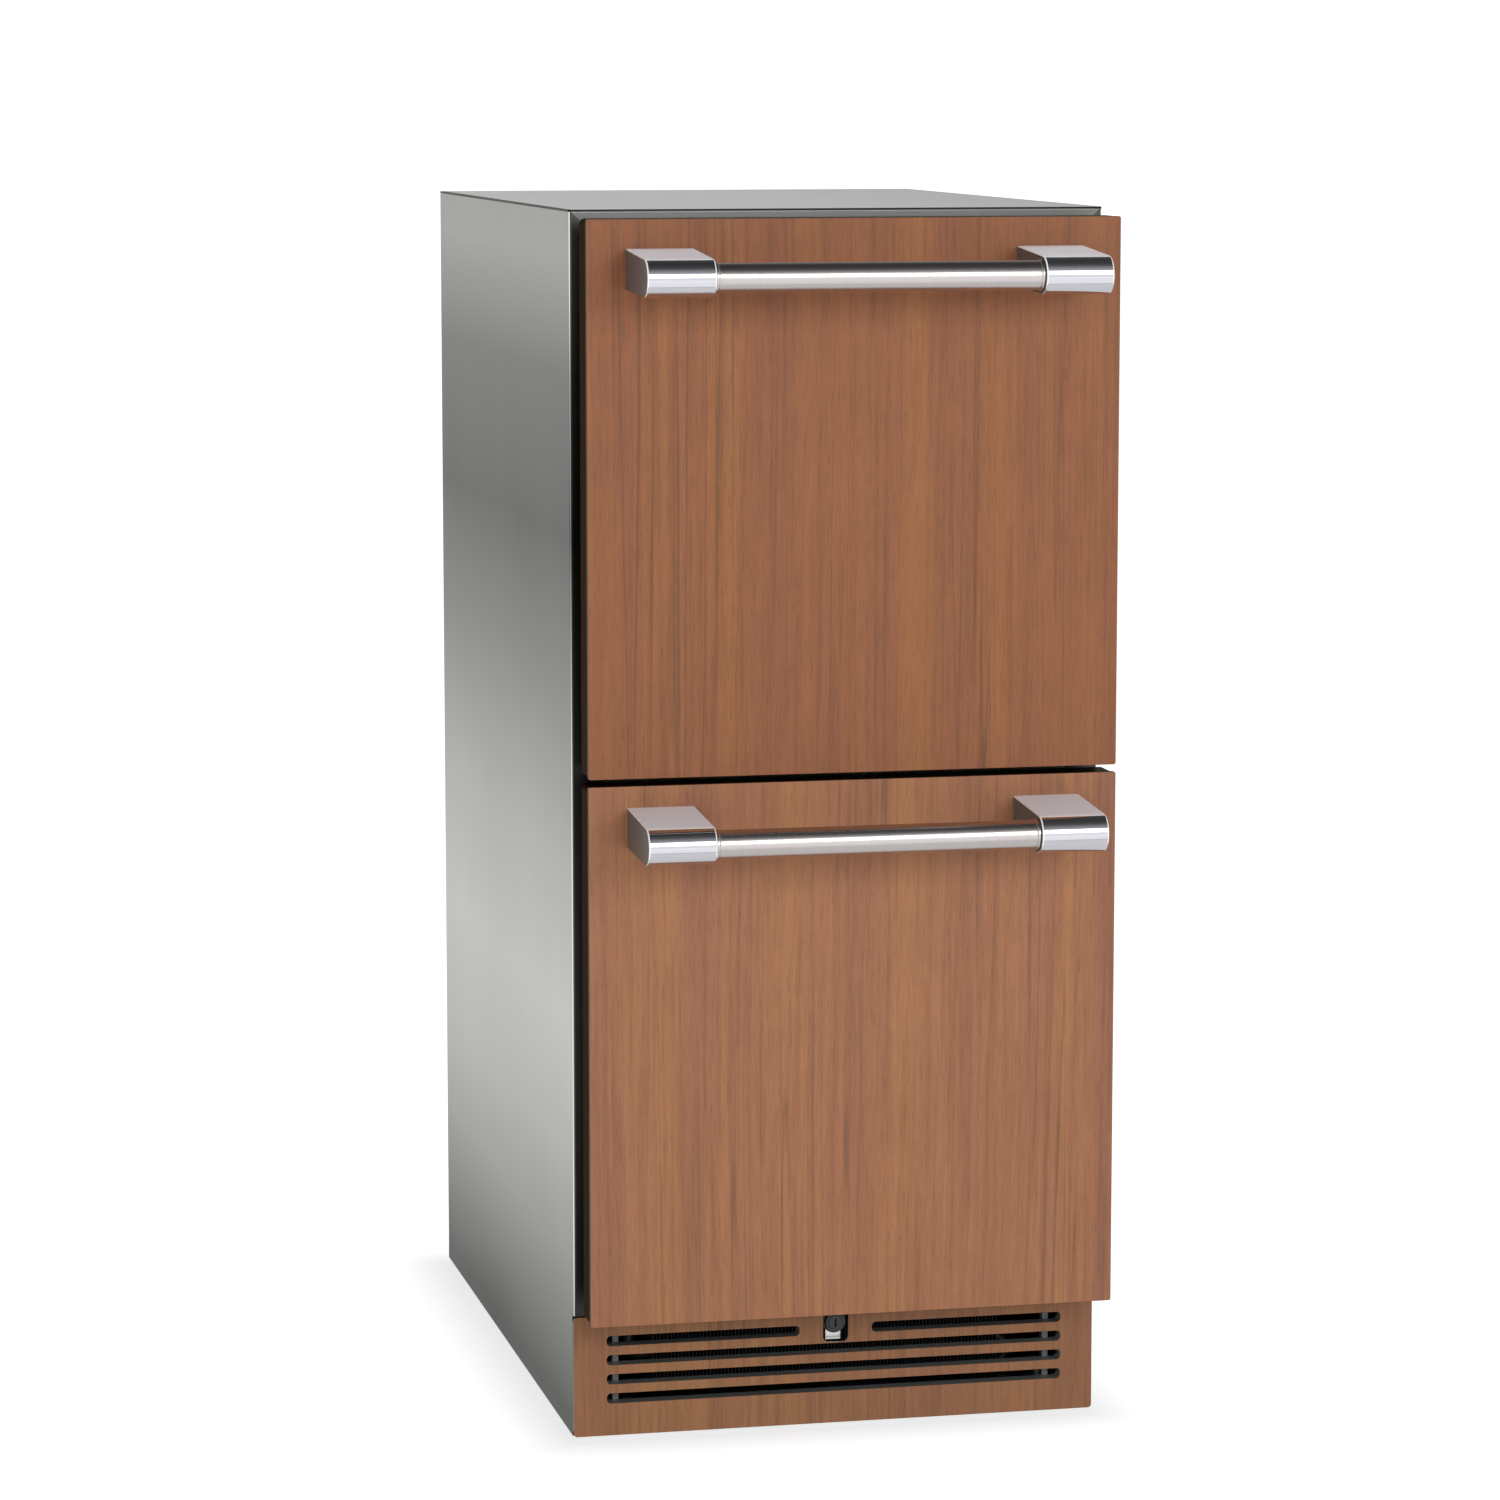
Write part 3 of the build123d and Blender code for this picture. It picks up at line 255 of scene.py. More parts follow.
def place(piece, body, slot, finish, *replaced):
    # rides on its body, takes its finish, and stands for the CAD nodes it was made for
    piece.data.materials.clear()
    piece.data.materials.append(finish)
    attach(piece, body)
    if replaced:
        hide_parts(*replaced)
    return piece


def joined(name, parts, smooth=40):
    # several closed shapes kept in one mesh
    points, faces = [], []
    for part in parts:
        first = len(points)
        points += [v.co.copy() for v in part.data.vertices]
        faces += [tuple(first + i for i in p.vertices) for p in part.data.polygons]
        bpy.data.objects.remove(part)
    return meshPiece(name, points, faces, smooth)


easing = {"segments": 2, "degrees": 40, "merge": 0.002 * mm, "flat": 0.6}     # flat in degrees


def eased(name, node, width):
    # a CAD node's shape with its corners merged and its sharp edges rounded off
    shape = bmesh.new()
    shape.from_mesh(nodes[node].data)
    bmesh.ops.remove_doubles(shape, verts=shape.verts, dist=easing["merge"])
    bmesh.ops.dissolve_limit(shape, angle_limit=math.radians(easing["flat"]),
                             verts=shape.verts, edges=shape.edges)
    mesh = bpy.data.meshes.new(name)
    shape.to_mesh(mesh)
    shape.free()
    for kept in [a.name for a in mesh.attributes if a.name == "custom_normal"]:
        mesh.attributes.remove(mesh.attributes[kept])
    piece = bpy.data.objects.new(name, mesh)
    scene.collection.objects.link(piece)
    shadeRound(piece, easing["degrees"])
    made = piece.modifiers.new("roundEdges", "BEVEL")
    made.width, made.segments = width, easing["segments"]
    made.limit_method, made.angle_limit = "ANGLE", math.radians(easing["degrees"])
    made.harden_normals = True
    return piece


# Geometry Nodes: one tree for each thing that repeats

class Tree:
    # a node group with named sizes, a geometry input and a geometry output
    def __init__(self, name, sizes):
        self.group = bpy.data.node_groups.new(name, "GeometryNodeTree")
        face = self.group.interface
        face.new_socket("Geometry", in_out="INPUT", socket_type="NodeSocketGeometry")
        for size, (kind, value) in sizes.items():
            socket = face.new_socket(size, in_out="INPUT", socket_type=f"NodeSocket{kind}")
            if value is not None:
                socket.default_value = value
        face.new_socket("Geometry", in_out="OUTPUT", socket_type="NodeSocketGeometry")
        self.inputs = self.group.nodes.new("NodeGroupInput").outputs
        self.output = self.group.nodes.new("NodeGroupOutput").inputs["Geometry"]

    def node(self, kind, feeds=None, **settings):
        # a kind is a geometry node's, unless it is given in full after an equals sign
        made = self.group.nodes.new(f"GeometryNode{kind}" if kind[0] != "=" else kind[1:])
        for key, value in settings.items():
            setattr(made, key, value)
        for socket, value in (feeds or {}).items():
            target = made.inputs[socket]
            if isinstance(value, bpy.types.NodeSocket):
                self.group.links.new(value, target)
            else:
                target.default_value = value
        return made

    def finish(self, geometry):
        # every tree ends in real meshes with their finish on
        real = self.node("RealizeInstances", {"Geometry": geometry}).outputs["Geometry"]
        coat = {"Geometry": real, "Material": self.inputs["Finish"]}
        self.group.links.new(self.node("SetMaterial", coat).outputs["Geometry"], self.output)
        return self.group


def grow(name, group, values, points=((0, 0, 0),), edges=(), smooth=None):
    # runs a tree on a host of points and edges, and keeps the result as a plain mesh
    mesh = bpy.data.meshes.new(name)
    mesh.from_pydata([tuple(p) for p in points], list(edges), [])
    piece = bpy.data.objects.new(name, mesh)
    scene.collection.objects.link(piece)
    made = piece.modifiers.new("build", "NODES")
    made.node_group = group
    for item in group.interface.items_tree:
        if item.item_type == "SOCKET" and item.in_out == "INPUT" and item.name in values:
            made[item.identifier] = values[item.name]
    bpy.context.view_layer.update()
    depsgraph = bpy.context.evaluated_depsgraph_get()
    result = bpy.data.meshes.new_from_object(piece.evaluated_get(depsgraph), depsgraph=depsgraph)
    piece.modifiers.clear()
    piece.data = result
    if smooth is not None:
        shadeRound(piece, smooth)
    return piece


def finTree():
    # a row of thin plates along X, each host point being the first plate's middle
    tree = Tree("finRow", {"Count": ("Int", 10), "Pitch": ("Float", 0.003),
                           "Plate": ("Vector", (0.0003, 0.1, 0.1)), "Finish": ("Material", None)})
    step = tree.node("=ShaderNodeCombineXYZ", {"X": tree.inputs["Pitch"]}).outputs["Vector"]
    line = tree.node("MeshLine", {"Count": tree.inputs["Count"], "Offset": step})
    plate = tree.node("MeshCube", {"Size": tree.inputs["Plate"]})
    row = tree.node("InstanceOnPoints", {"Points": line.outputs["Mesh"],
                                         "Instance": plate.outputs["Mesh"]})
    rows = tree.node("InstanceOnPoints", {"Points": tree.inputs["Geometry"],
                                          "Instance": row.outputs["Instances"]})
    return tree.finish(rows.outputs["Instances"])


def pipeTree():
    # a round tube along the host's edges, with its corners bent to a radius
    tree = Tree("bentPipe", {"Radius": ("Float", 0.004), "Bend": ("Float", 0.009),
                             "Sides": ("Int", 20), "Finish": ("Material", None)})
    line = tree.node("MeshToCurve", {"Mesh": tree.inputs["Geometry"]}).outputs["Curve"]
    bent = tree.node("FilletCurve", {"Curve": line, "Radius": tree.inputs["Bend"]})
    if "Mode" in bent.inputs:
        bent.inputs["Mode"].default_value = "Poly"
    else:
        bent.mode = "POLY"
    bent.inputs["Count"].default_value = 7
    ring = tree.node("CurvePrimitiveCircle", {"Radius": tree.inputs["Radius"],
                                              "Resolution": tree.inputs["Sides"]})
    skin = tree.node("CurveToMesh", {"Curve": bent.outputs["Curve"],
                                     "Profile Curve": ring.outputs["Curve"], "Fill Caps": True})
    return tree.finish(skin.outputs["Mesh"])


def pointTree(name):
    # sets a copy of one part at each host point, turned about Y by a seeded amount
    tree = Tree(name, {"Part": ("Object", None), "Turn": ("Float", 0.0), "Seed": ("Int", 1),
                       "Finish": ("Material", None)})
    part = tree.node("ObjectInfo", {"Object": tree.inputs["Part"]}).outputs["Geometry"]
    chance = tree.node("=FunctionNodeRandomValue", {"Seed": tree.inputs["Seed"]},
                       data_type="FLOAT").outputs[1]
    turn = tree.node("=ShaderNodeMath", operation="MULTIPLY")
    tree.group.links.new(chance, turn.inputs[0])
    tree.group.links.new(tree.inputs["Turn"], turn.inputs[1])
    spin = tree.node("=ShaderNodeCombineXYZ", {"Y": turn.outputs["Value"]}).outputs["Vector"]
    spots = tree.node("InstanceOnPoints", {"Points": tree.inputs["Geometry"], "Instance": part,
                                           "Rotation": spin})
    return tree.finish(spots.outputs["Instances"])


def ballTree():
    # bearing balls along the host's edges
    tree = Tree("ballRow", {"Radius": ("Float", 0.0015), "Pitch": ("Float", 0.008),
                            "Finish": ("Material", None)})
    line = tree.node("MeshToCurve", {"Mesh": tree.inputs["Geometry"]}).outputs["Curve"]
    spots = tree.node("CurveToPoints", {"Curve": line, "Length": tree.inputs["Pitch"]},
                      mode="LENGTH").outputs["Points"]
    ball = tree.node("MeshIcoSphere", {"Radius": tree.inputs["Radius"], "Subdivisions": 2})
    row = tree.node("InstanceOnPoints", {"Points": spots, "Instance": ball.outputs["Mesh"]})
    return tree.finish(row.outputs["Instances"])


# Finishes

wood = {
    "honey": screenColour(173, 121, 84),
    "plain": screenColour(166, 113, 83),
    "rose": screenColour(156, 105, 82),
    "line": screenColour(92, 68, 56),
    "bands": 34.0,       # broad tones, for each metre across
    "fibres": 300.0,
    "lines": 85.0,
    "flecks": 480.0,
    "pores": 1500.0,
    "drift": 0.010,      # how far the grain wanders sideways
    "edgeTone": 0.22,    # the panels' sides, against their faces: a dark stain and painted shade
}


def woodFinish(name, shift, stain):
    # straight upright grain: broad tones, fibres, dark growth lines and short pores
    coat = Finish(name, wood["plain"], rough=0.5, Specular_IOR_Level=0.3)
    wander = coat.noise(coat.stretched((3.0, 3.0, 1.6), shift), detail=1.0)
    aside = coat.range(wander, 0.0, 1.0, -wood["drift"], wood["drift"])
    drift = coat.node("ShaderNodeCombineXYZ", {"X": aside}).outputs["Vector"]
    grain = coat.node("ShaderNodeVectorMath", {0: coat.coordinates, 1: drift},
                      operation="ADD").outputs["Vector"]

    def along(across, up, **settings):
        return coat.noise(coat.stretched((across, across, up), shift, grain), **settings)

    bands = along(wood["bands"], 0.5, detail=3.0, rough=0.55)
    tone = coat.ramp(bands, [(0.30, wood["rose"]), (0.5, wood["plain"]), (0.68, wood["honey"])])
    fibres = along(wood["fibres"], 7.0, detail=4.0, rough=0.6)
    tone = coat.blend(0.75, tone, coat.ramp(fibres, [(0.25, 0.68), (0.52, 1.0), (0.8, 1.14)]),
                      "MULTIPLY")
    contour = along(wood["lines"], 0.8, detail=1.6, rough=0.4)
    lineMask = coat.ramp(contour, [(0.455, 0.0), (0.485, 0.85), (0.50, 0.0)])
    fade = coat.ramp(along(26.0, 2.2, detail=2.0), [(0.38, 0.1), (0.60, 1.0)])
    lineMask = coat.maths("MULTIPLY", lineMask, fade)
    tone = coat.blend(coat.maths("MULTIPLY", lineMask, 0.55), tone, wood["line"])
    shimmer = along(55.0, 24.0, detail=3.0)
    tone = coat.blend(0.45, tone, coat.ramp(shimmer, [(0.3, 0.9), (0.7, 1.08)]), "MULTIPLY")
    flecks = along(wood["flecks"], 48.0, detail=2.0)
    tone = coat.blend(0.6, tone, coat.ramp(flecks, [(0.3, 0.88), (0.5, 1.0), (0.7, 1.07)]),
                      "MULTIPLY")
    pores = coat.ramp(along(wood["pores"], 70.0, detail=2.0), [(0.60, 0.0), (0.70, 1.0)])
    tone = coat.blend(coat.maths("MULTIPLY", pores, 0.34), tone, wood["line"])
    tone = coat.blend(1.0, tone, stain, "MULTIPLY")
    # the panels' sides are darker than their faces: a dark-stained edge with painted shade
    facing = coat.node("ShaderNodeTexCoord").outputs["Normal"]
    turned = coat.node("ShaderNodeSeparateXYZ", {"Vector": facing})
    edgeways = coat.maths("MAXIMUM", coat.maths("ABSOLUTE", turned.outputs["X"], 0.0),
                          coat.maths("ABSOLUTE", turned.outputs["Z"], 0.0))
    cut = coat.range(edgeways, 0.55, 0.95, 1.0, wood["edgeTone"])
    tone = coat.blend(1.0, tone, cut, "MULTIPLY")
    coat.feed("Base Color", tone)
    coat.feed("Roughness", coat.range(fibres, 0.2, 0.8, 0.42, 0.58))
    relief = coat.maths("SUBTRACT", fibres, coat.maths("MULTIPLY", pores, 0.7))
    coat.bump(relief, 0.05 * mm)
    return coat.material


steel = {
    "colour": screenColour(235, 236, 232),
    "lines": 1100.0,     # brush lines, for each metre across
    "run": 5.0,          # their breaks, for each metre along
    # painted reflection: light and dark bands up the side sheets, from bottom to top
    "tones": [(0.02, 0.08), (0.083, 0.32), (0.152, 0.56), (0.239, 0.74), (0.351, 0.86),
              (0.481, 0.67), (0.611, 0.35), (0.74, 0.11), (0.87, 0.25), (0.965, 0.63)],
    "seam": 1.7 * mm,    # the side sheet's upper edge, rolled in under the top, painted black as shade in the groove
    # from a face that looks forward, round the bend, to the sheet itself: painted shade on the
    # flange, a painted highlight on the bend
    "sideFold": [(0.0, 0.12), (0.12, 0.14), (0.28, 2.6), (0.5, 2.2), (0.72, 0.2), (0.86, 1.0)],
    # painted light on the top sheet: lighter at its left end than at its right
    "topTones": [(0.0, 1.08), (0.5, 1.02), (1.0, 0.88)],
    # painted shade on the top's front flange, with a dark painted line at the bend
    "topFold": [(0.0, 0.15), (0.25, 0.3), (0.6, 0.12), (0.8, 0.2), (0.93, 1.0)],
}


def brushedFinish(name, direction, colour, rough, tones=None, along="Z", fold=None,
                  edge=(1, 1, 1, 1), metal=1.0):
    # brushed steel; tones are painted shading and painted reflection, soft bands on the sheet from
    # one end to the other
    coat = Finish(name, colour, metal=metal, rough=rough, Specular_Tint=edge)
    scale = [steel["lines"]] * 3
    scale["XYZ".index(direction)] = steel["run"]
    brush = coat.noise(coat.stretched(scale), detail=4.0, rough=0.65)
    cloud = coat.noise(coat.stretched((5, 5, 2.5)), detail=3.0)
    tone = coat.blend(1.0, colour, coat.ramp(brush, [(0.2, 0.86), (0.5, 1.0), (0.8, 1.12)]),
                      "MULTIPLY")
    tone = coat.blend(1.0, tone, coat.ramp(cloud, [(0.3, 0.94), (0.7, 1.05)]), "MULTIPLY")
    # painted shading and painted reflection: the sheet made lighter and darker along its length
    if tones:
        axis = "XYZ".index(along)
        low, high = cadBounds[0][axis], cadBounds[1][axis]
        spot = coat.node("ShaderNodeSeparateXYZ", {"Vector": coat.coordinates}).outputs[axis]
        level = coat.range(spot, low, high, 0.0, 1.0)
        tone = coat.blend(1.0, tone, coat.ramp(level, tones), "MULTIPLY")
        if along == "Z":
            # painted shade: the sheet's top edge goes black where it runs under the top
            seam = coat.range(spot, high - steel["seam"], high - steel["seam"] * 0.8, 1.0, 0.0)
            tone = coat.blend(1.0, tone, seam, "MULTIPLY")
    facing = coat.node("ShaderNodeTexCoord").outputs["Normal"]
    forward = coat.node("ShaderNodeSeparateXYZ", {"Vector": facing}).outputs["Y"]
    # by the face's direction: painted shade on faces that look forward, painted light and shade round
    # the bend
    if fold:
        turned = coat.ramp(coat.range(forward, -1.0, 0.0, 0.0, 1.0), fold)
        tone = coat.blend(1.0, tone, turned, "MULTIPLY")
    coat.feed("Base Color", tone)
    smear = coat.maths("MULTIPLY", coat.maths("SUBTRACT", cloud, 0.5), 0.12)
    coat.feed("Roughness", coat.maths("ADD", coat.range(brush, 0.2, 0.8, rough - 0.05, rough + 0.07),
                                      smear))
    coat.bump(brush, 0.012 * mm)
    return coat.material


def polishedFinish(name, colour, rough):
    # plated and polished, with hairline scratches and a faint haze
    coat = Finish(name, colour, metal=1.0, rough=rough)
    haze = coat.noise(coat.stretched((30, 30, 30)), detail=4.0)
    scratches = coat.noise(coat.stretched((60, 900, 900)), detail=2.0, twist=0.6)
    scratches = coat.ramp(scratches, [(0.62, 0.0), (0.66, 1.0)])
    spread = coat.range(haze, 0.3, 0.7, rough * 0.7, rough * 1.5)
    coat.feed("Roughness", coat.maths("ADD", spread, coat.maths("MULTIPLY", scratches, 0.05)))
    coat.feed("Base Color", coat.blend(coat.maths("MULTIPLY", scratches, 0.12), colour,
                                       (0.6, 0.62, 0.66, 1.0)))
    coat.bump(haze, 0.002 * mm)
    return coat.material


def turnedFinish(name, colour, rough):
    # fine rings round the tube
    coat = Finish(name, colour, metal=1.0, rough=rough)
    rings = coat.noise(coat.stretched((2600, 30, 30)), detail=3.0, rough=0.7)
    tone = coat.ramp(rings, [(0.2, 0.93), (0.5, 1.0), (0.8, 1.05)])
    coat.feed("Base Color", coat.blend(1.0, colour, tone, "MULTIPLY"))
    coat.feed("Roughness", coat.range(rings, 0.2, 0.8, rough - 0.03, rough + 0.05))
    coat.bump(rings, 0.002 * mm)
    return coat.material


def zincFinish(name, colour, spangle):
    # zinc coat with crystal spangle and a dull bloom
    coat = Finish(name, colour, metal=1.0, rough=0.42)
    crystals = coat.node("ShaderNodeTexVoronoi", {"Vector": coat.coordinates, "Scale": spangle})
    grey = coat.node("ShaderNodeRGBToBW", {"Color": crystals.outputs["Color"]}).outputs["Val"]
    bloom = coat.noise(coat.stretched((14, 14, 14)), detail=5.0)
    tone = coat.blend(1.0, colour, coat.ramp(grey, [(0.1, 0.84), (0.9, 1.12)]), "MULTIPLY")
    tone = coat.blend(coat.range(bloom, 0.5, 0.8, 0.0, 0.5), tone, (0.42, 0.43, 0.43, 1.0))
    coat.feed("Base Color", tone)
    coat.feed("Roughness", coat.range(grey, 0.0, 1.0, 0.32, 0.5))
    coat.bump(grey, 0.01 * mm)
    return coat.material


def plainFinish(name, colour, rough, grainScale, grainDepth, metal=0.0, dust=0.12, **sockets):
    # moulded, painted or cast surfaces: a fine texture, uneven gloss and a little dust
    coat = Finish(name, colour, metal=metal, rough=rough, **sockets)
    texture = coat.noise(coat.coordinates, grainScale, detail=3.0)
    uneven = coat.noise(coat.coordinates, 11.0, detail=4.0)
    lift = tuple(min(1.0, c * 1.5 + 0.02) for c in colour[:3]) + (1.0,)
    coat.feed("Base Color", coat.blend(coat.range(uneven, 0.35, 0.8, 0.0, dust * 3), colour, lift))
    coat.feed("Roughness", coat.range(uneven, 0.3, 0.7, rough - 0.07, rough + 0.08))
    coat.bump(texture, grainDepth)
    return coat.material


def foamFinish(name, colour):
    # cut rigid foam with closed cells
    coat = Finish(name, colour, rough=0.9)
    cells = coat.cells(coat.coordinates, 900.0)
    patch = coat.noise(coat.coordinates, 30.0, detail=3.0)
    tone = coat.blend(coat.range(cells, 0.0, 0.6, 0.35, 0.0), colour, screenColour(176, 146, 92))
    coat.feed("Base Color", coat.blend(coat.range(patch, 0.3, 0.7, 0.0, 0.3), tone,
                                       screenColour(240, 226, 182)))
    coat.bump(cells, 0.3 * mm)
    return coat.material


def copperFinish(name):
    coat = Finish(name, screenColour(214, 140, 102), metal=1.0, rough=0.28)
    tarnish = coat.noise(coat.coordinates, 45.0, detail=5.0, twist=0.5)
    tone = coat.ramp(tarnish, [(0.35, screenColour(222, 150, 112)), (0.6, screenColour(178, 104, 70)),
                               (0.8, screenColour(112, 66, 48))])
    coat.feed("Base Color", tone)
    coat.feed("Roughness", coat.range(tarnish, 0.3, 0.8, 0.2, 0.5))
    coat.bump(tarnish, 0.02 * mm)
    return coat.material


sideSteel = brushedFinish("sideSteel", "Z", steel["colour"], 0.34, tones=steel["tones"],
                          fold=steel["sideFold"], edge=(0.76, 0.76, 0.74, 1.0))
topSteel = brushedFinish("topSteel", "X", screenColour(246, 247, 244), 0.32,
                         tones=steel["topTones"], along="X", fold=steel["topFold"])
# stainless steel in a dark tone: painted shade and a painted dark reflection on the front flanges and
# rails
frontSteel = brushedFinish("frontSteel", "Z", screenColour(112, 112, 104), 0.36)
# drawer pans in olive brown with a brown edge tint: painted shade and a painted reflection of the
# wood
panSteel = brushedFinish("panSteel", "Z", screenColour(72, 64, 52), 0.34,
                         edge=(0.28, 0.235, 0.18, 1.0))
binSteel = brushedFinish("binSteel", "Y", screenColour(198, 200, 198), 0.36, metal=0.6)
slotFinish = {
    "stainless_steel": frontSteel,
    "galvanised_steel": zincFinish("zincSheet", screenColour(188, 192, 195), 90.0),
    "wood_face": woodFinish("grilleWood", (3.7, 1.0, 5.0), (0.70, 0.70, 0.57, 1.0)),
    "polished_posts": polishedFinish("polishedChrome", (0.67, 0.675, 0.72, 1.0), 0.06),
    "brushed_tube": turnedFinish("turnedTube", (0.58, 0.55, 0.54, 1.0), 0.22),
    "zinc_screws": zincFinish("zincScrews", screenColour(200, 200, 196), 700.0),
    "black_rubber": plainFinish("softRubber", screenColour(26, 26, 27), 0.62, 500.0, 0.02 * mm),
    "black_plastic": plainFinish("mouldedBlack", screenColour(30, 31, 32), 0.48, 1400.0, 0.02 * mm),
    "black_paint": plainFinish("blackPaint", screenColour(34, 35, 37), 0.38, 320.0, 0.015 * mm,
                               Specular_IOR_Level=0.5),
    "foam": foamFinish("rigidFoam", screenColour(232, 214, 164)),
    "copper": copperFinish("drawnCopper"),
    "coil_aluminium": plainFinish("millAluminium", screenColour(205, 207, 210), 0.36, 600.0,
                                  0.01 * mm, metal=1.0),
    "nickel": polishedFinish("satinNickel", (0.80, 0.80, 0.77, 1.0), 0.2),
    "white_plastic": plainFinish("milkyDiffuser", screenColour(236, 236, 230), 0.3, 700.0,
                                 0.01 * mm, dust=0.05, Subsurface_Weight=0.4,
                                 Subsurface_Scale=0.002),
}
upperWood = woodFinish("upperWood", (0.0, 0.0, 0.0), (0.72, 0.60, 0.435, 1.0))
lowerWood = woodFinish("lowerWood", (9.3, 2.0, 7.0), (0.88, 0.85, 0.76, 1.0))
# post faces coloured by direction: dark ends as painted shade, bright tops as painted light, white
# rims as painted highlights
postEnd = plainFinish("postEnd", (0.085, 0.083, 0.08, 1.0), 0.3, 300.0, 0.002 * mm)
postTop = plainFinish("postTop", (0.90, 0.89, 0.95, 1.0), 0.35, 300.0, 0.002 * mm,
                      Specular_IOR_Level=0.2)
postRim = plainFinish("postRim", (0.96, 0.95, 0.96, 1.0), 0.25, 300.0, 0.001 * mm, metal=0.1)
grilleSteel = plainFinish("grilleSteel", screenColour(104, 106, 106), 0.4, 420.0, 0.01 * mm)
bracketGrey = plainFinish("bracketGrey", screenColour(104, 107, 110), 0.4, 420.0, 0.01 * mm)
keyway = polishedFinish("keywayDark", (0.06, 0.062, 0.065, 1.0), 0.28)

for node in nodes.values():
    slotName = node.material_slots[0].material.name.split(".")[0]
    node.material_slots[0].material = slotFinish[slotName]
ownFinish = {
    "left_side_panel": sideSteel, "right_side_panel": sideSteel, "top_panel": topSteel,
    "upper_bin": binSteel, "lower_bin": binSteel, "liner": binSteel,
    "upper_drawer_pan": panSteel, "lower_drawer_pan": panSteel, "toe_grille": grilleSteel,
    "grille_brackets": bracketGrey,
}
for node, finish in ownFinish.items():
    nodes[node].material_slots[0].material = finish
print("finishes on", len(nodes), "frame parts")


# Drawer faces

drawerFace = {"cornerRadius": 1.5 * mm, "easedEdge": 0.35 * mm}


def makeWoodFace(name, node, body, finish):
    low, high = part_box(node)
    middle = (low + high) / 2
    halfWide, halfHigh = (high.x - low.x) / 2, (high.z - low.z) / 2
    rim = [(inset, low.y + depth) for inset, depth in quarterRound(drawerFace["easedEdge"], 3)]
    loops = []
    for inset, y in rim + [(0.0, high.y)]:
        shape = roundedRectangle(halfWide - inset, halfHigh - inset,
                                 drawerFace["cornerRadius"] - inset * 0.9)
        loops.append([(middle.x + x, y, middle.z + z) for x, z in shape])
    piece = loft(name, loops, smooth=30)
    levelNormals(piece)
    return place(piece, body, "wood_face", finish, node)


makeWoodFace("upperWoodFace", "upper_wood_panel", "upper_drawer", upperWood)
makeWoodFace("lowerWoodFace", "lower_wood_panel", "lower_drawer", lowerWood)
print("wood faces")


# Handles

handle = {
    "noseRadius": 13.0 * mm,
    "postWidth": 47.0 * mm,
    "postHeight": 28.0 * mm,
    "rim": 0.9 * mm,
    "tubeRadius": 10.0 * mm,
    "collarWidth": 2.4 * mm,
    "collarRise": 0.7 * mm,
    "collarEdge": 0.3 * mm,
    "arcSteps": 40,
}


def tangentAngle(corner, centre, radius, side):
    # direction from the centre to where a line from the corner touches the circle
    dy, dz = corner[0] - centre[0], corner[1] - centre[1]
    return math.atan2(dz, dy) + side * math.acos(radius / math.hypot(dy, dz))


def postOutline(panelFront, middle, nose, inset):
    # side view of a post as (y, z): straight back, sloping top and bottom, round nose
    radius = handle["noseRadius"] - inset
    high = (panelFront, middle + handle["postHeight"] / 2 - inset)
    low = (panelFront, middle - handle["postHeight"] / 2 + inset)
    above = tangentAngle(high, nose, radius, 1)
    below = tangentAngle(low, nose, radius, -1)
    if below < above:
        below += 2 * math.pi
    steps = handle["arcSteps"]
    arc = [above + (below - above) * i / steps for i in range(steps + 1)]
    return [high] + [(nose[0] + radius * math.cos(a), nose[1] + radius * math.sin(a))
                     for a in arc] + [low]


def makeHandle(key):
    body = f"{key}_drawer"
    low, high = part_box(f"{key}_handle_posts")
    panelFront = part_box(f"{key}_wood_panel")[0].y
    nose = (low.y + handle["noseRadius"], low.z + handle["noseRadius"])
    middle = high.z - handle["postHeight"] / 2
    rim = quarterRound(handle["rim"], 5)
    width = handle["postWidth"]
    sections = [(inset, along) for inset, along in rim]
    sections += [(inset, width - along) for inset, along in reversed(rim)]
    pair = []
    for start, side in ((low.x, 1), (high.x, -1)):
        loops = []
        for inset, along in sections:
            outline = postOutline(panelFront, middle, nose, inset)
            loops.append([(start + side * along, y, z) for y, z in outline])
        pair.append(loft("post", loops))
    posts = joined(f"{key}HandlePosts", pair)
    levelNormals(posts)
    place(posts, body, "polished_posts", slotFinish["polished_posts"], f"{key}_handle_posts")
    for extra in (postEnd, postTop, postRim):
        posts.data.materials.append(extra)
    for face in posts.data.polygons:           # flat ends in painted shade, flat tops in painted light, and the rims round both as painted highlights
        if abs(face.normal.x) > 0.95:
            face.material_index = 1
        elif face.normal.z > 0.99:
            face.material_index = 2
        elif face.normal.z > 0.93 or abs(face.normal.x) > 0.1 and face.normal.z > -0.45:
            face.material_index = 3

    inner = high.x - width                     # where the tube meets a post
    radius, rise, collar = handle["tubeRadius"], handle["collarRise"], handle["collarWidth"]
    soft = handle["collarEdge"]
    side = [(inner, radius + rise - soft), (inner - soft, radius + rise),
            (inner - collar + soft, radius + rise), (inner - collar, radius + rise - soft),
            (inner - collar, radius + soft * 0.4), (inner - collar - soft * 0.4, radius),
            (inner - collar - soft * 3, radius)]
    profile = [(-x, r) for x, r in side] + [(x, r) for x, r in reversed(side)]
    tube = lathe(f"{key}HandleTube", profile, (0, *nose), "X", 96, 50)
    place(tube, body, "brushed_tube", slotFinish["brushed_tube"], f"{key}_handle_tube")


for key in ("upper", "lower"):
    makeHandle(key)
print("handles")


# Condenser and evaporator

coil = {"finPitch": 2.6 * mm, "finThick": 0.25 * mm, "tubeRadius": 4.0 * mm, "bend": 9.0 * mm,
        "rowPitch": 22.0 * mm, "bendReach": 12.0 * mm}
finGroup, pipeGroup = finTree(), pipeTree()


